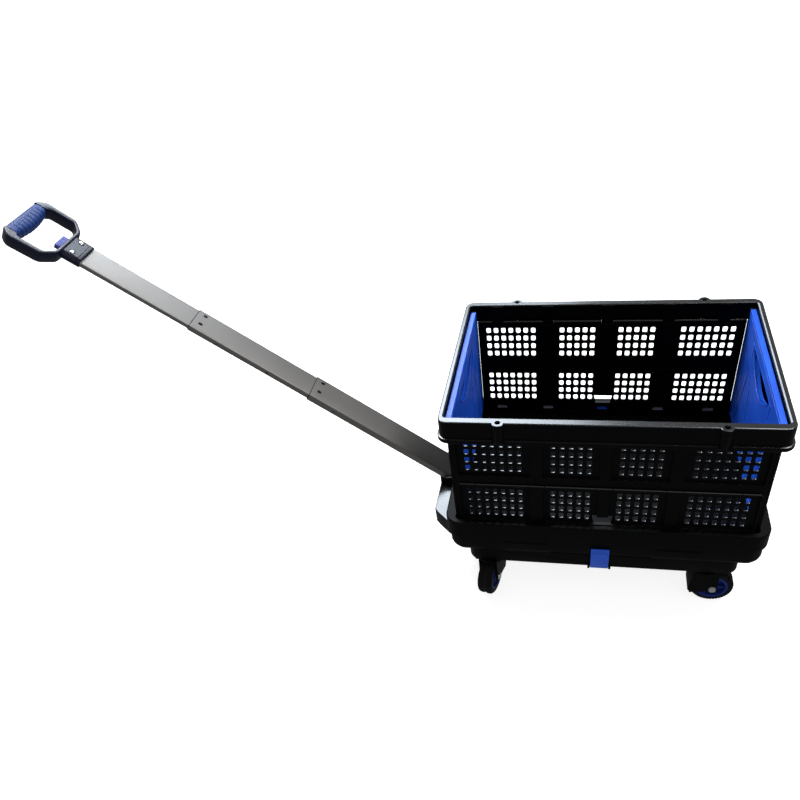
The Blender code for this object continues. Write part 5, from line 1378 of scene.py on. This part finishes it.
# Half a hub section: place across and radius
HUB_SECTION = (
    (12.5, 4.4),
    (12.9, 5),
    (12.9, 8.4),
    (12.4, 9.2),
    (6, 9.8),
    (5, 12),
    (5, 20.6),
    (6, 21.8),
    (12.6, 22.6),
    (13.4, 23.4),
    (13.4, 27),
    (12.8, 27.8),
)
SPOKES = 6
CROWN_PROFILE = ((5, 24), (2.4, 24), (0.8, 23.4), (0, 22))  # depth under the top, radius
CHEEK_TOP = CROWN_TOP - 1.4
CHEEK_BOSS = 9.5  # radius round the axle
CHEEK_SPAN = (15, 18)
HOOD_RADII = (41.4, 39)
HOOD_HALF = 17.5


def tyre_mesh():
    """Tyre with two rows of tread blocks beside a centre groove."""
    loops = []
    for tread in range(BLOCKS):
        for share, depth in GROOVE_SHARES:
            turn = 360 * (tread + share) / BLOCKS
            loop = []
            for side, rows in ((1, TYRE_SECTION), (-1, TYRE_SECTION[::-1])):
                for across, radius, part in rows:
                    reach = radius - GROOVE_DEPTH * depth * part
                    loop.append(lift(wheel_arc(reach, [turn])[0], "y", side * across))
            loops.append(loop)
    return skin(loops, closed=True)


def hub_mesh():
    """Hub: outer ring, dished web with ribs and a centre boss."""
    profile = [*HUB_SECTION, *((-level, radius) for level, radius in reversed(HUB_SECTION))]
    parts = [turned(profile, "y", (TRAIL, WHEEL_Z), 64, closed=True)]
    for spoke in range(SPOKES):
        rib = block((9, 22.6), (-11.4, 11.4), (-1.4, 1.4))
        turn = Matrix.Rotation(math.radians(360 * spoke / SPOKES), 4, "Y")
        parts.append(moved(rib, Matrix.Translation((TRAIL, 0, WHEEL_Z)) @ turn))
    return gathered(parts)


def wheel_arc(radius, turns):
    return arc((TRAIL, WHEEL_Z), radius, turns)


def fork_mesh():
    """Crown, two cheeks and the hood over the back of the wheel."""
    top = CROWN_TOP
    outer, inner = HOOD_RADII
    parts = [turned([(top - drop, radius) for drop, radius in CROWN_PROFILE], "z", (0, 0), 40)]
    cheek = [
        (TRAIL + 8, CHEEK_TOP),
        (TRAIL - 26, CHEEK_TOP),
        *wheel_arc(outer, range(135, 187, 6)),
        *wheel_arc(39.5, (192, 198)),
        (TRAIL - 7, WHEEL_Z - 7),
        *wheel_arc(CHEEK_BOSS, range(-120, 31, 15)),
    ]
    turns = list(range(123, 190, 6))
    hood = wheel_arc(outer, turns) + wheel_arc(inner, turns[::-1])
    for side in SIDES:
        low, high = sorted(side * y for y in CHEEK_SPAN)
        parts.append(prism(cheek, "y", low, high))
    parts.append(prism(hood, "y", -HOOD_HALF, HOOD_HALF))
    return gathered(parts)


def build_casters():
    for end, x in zip(("right", "left"), CASTER_X):
        for side, y in (("front", -CASTER_Y), ("rear", CASTER_Y)):
            name = f"{side}_{end}"
            heading = Matrix.Rotation(math.radians(HEADINGS[end]), 4, "Z")
            move = Matrix.Translation((x, y, 0)) @ heading
            tyre, hub, fork = (moved(mesh, move) for mesh in (tyre_mesh(), hub_mesh(), fork_mesh()))
            wheel, swivel = f"{name}_wheel", f"{name}_swivel"
            piece(f"{name}_tread", tyre, "tyre", wheel, (f"{name}_tyre",), sharp=30)
            piece(f"{name}_wheel_hub", hub, "hub", wheel, (f"{name}_hub",), sharp=30)
            piece(f"{name}_fork", fork, "shell", swivel, (f"{name}_caster_fork",), 0.5)


# CAD nodes that stay as they are


DARK_ENDINGS = ("_rod", "_plate", "_kingpin", "pivot_pin")
BRIGHT_ROD = "pull_rod"


def paint_kept_nodes():
    for name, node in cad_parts.items():
        if node.hide_render:
            continue
        old = node.data.materials[0].name if node.data.materials else ""
        kept = (finishes[0] for slot, finishes in SLOT_FINISHES.items() if old.startswith(slot))
        finish = next(kept, "steel")
        if name.endswith(DARK_ENDINGS) and name != BRIGHT_ROD:
            finish = "rod"
        node.data.materials.clear()
        node.data.materials.append(material(finish))


# Stage


def build_camera():
    azimuth, elevation, roll = (math.radians(value) for value in CAMERA_TURN)
    flat = math.cos(elevation)
    back = Vector((math.sin(azimuth) * flat, -math.cos(azimuth) * flat, math.sin(elevation)))
    level_right = (-back).cross(Vector((0, 0, 1))).normalized()
    level_up = level_right.cross(-back)
    right = level_right * math.cos(roll) + level_up * math.sin(roll)
    up = -level_right * math.sin(roll) + level_up * math.cos(roll)
    data = bpy.data.cameras.new("camera")
    data.sensor_width = SENSOR
    data.lens = SENSOR * FOCAL_PIXELS / PICTURE
    data.shift_x = (PICTURE / 2 - CENTRE_PIXELS[0]) / PICTURE
    data.shift_y = (CENTRE_PIXELS[1] - PICTURE / 2) / PICTURE
    camera = bpy.data.objects.new("camera", data)
    bpy.context.scene.collection.objects.link(camera)
    rows = [[right[i], up[i], back[i], CAMERA_PLACE[i]] for i in range(3)]
    camera.matrix_world = Matrix([*rows, [0, 0, 0, 1]])
    bpy.context.scene.camera = camera


def seen_directly(nodes):
    """The light path's outputs, and 1 for what the camera sees, also through clear pieces."""
    path = nodes.add("ShaderNodeLightPath").outputs
    return path, nodes.math("MAXIMUM", path["Is Camera Ray"], path["Is Transmission Ray"])


def build_floor():
    corners = [(sx * FLOOR_REACH, sy * FLOOR_REACH) for sx, sy in QUARTERS]
    mesh = prism(corners, "z", GROUND_Z - 0.01, GROUND_Z)
    floor = bpy.data.objects.new("floor", mesh)
    bpy.context.scene.collection.objects.link(floor)
    paint = bpy.data.materials.new("floor")
    paint.use_nodes = True
    paint.node_tree.nodes.clear()
    nodes = Nodes(paint.node_tree)
    path, seen = seen_directly(nodes)
    diffuse = nodes.add("ShaderNodeBsdfDiffuse", {"Color": FLOOR_COLOUR}).outputs[0]
    glow = nodes.add("ShaderNodeEmission", {"Strength": nodes.math("MULTIPLY", seen, FLOOR_GLOW)})
    both = nodes.add("ShaderNodeAddShader", {0: diffuse, 1: glow.outputs[0]}).outputs[0]
    dim = nodes.add("ShaderNodeEmission", {"Strength": GLOSSY_GLOW}).outputs[0]
    mix = nodes.add("ShaderNodeMixShader", {0: path["Is Glossy Ray"], 1: both, 2: dim})
    nodes.add("ShaderNodeOutputMaterial", {"Surface": mix.outputs[0]})
    mesh.materials.append(paint)


def build_world():
    world = bpy.data.worlds.new("studio")
    bpy.context.scene.world = world
    world.use_nodes = True
    nodes = Nodes(world.node_tree)
    path, seen = seen_directly(nodes)
    glossy = nodes.math("MULTIPLY", path["Is Glossy Ray"], GLOSSY_GLOW)
    strength = nodes.math("MAXIMUM", nodes.math("MAXIMUM", seen, glossy), AMBIENT)
    background = world.node_tree.nodes["Background"].inputs
    nodes.feed(background["Strength"], strength)
    nodes.feed(background["Color"], (1, 1, 1, 1))


def build_lamps():
    for name, (place, target, size, power, colour) in LAMPS.items():
        data = bpy.data.lights.new(name, "AREA")
        data.shape = "RECTANGLE"
        data.size, data.size_y = size
        data.energy = power
        data.color = colour
        lamp = bpy.data.objects.new(name, data)
        bpy.context.scene.collection.objects.link(lamp)
        lamp.location = place
        lamp.rotation_mode = "QUATERNION"
        lamp.rotation_quaternion = (Vector(target) - Vector(place)).to_track_quat("-Z", "Y")


def main():
    bpy.context.scene.view_settings.view_transform = "Standard"
    build_camera()
    build_world()
    build_floor()
    build_lamps()
    build_long_sides()
    build_frame()
    build_end_walls()
    build_tray()
    build_chassis()
    build_latches()
    build_housing()
    build_tubes()
    build_grip()
    build_casters()
    paint_kept_nodes()


main()
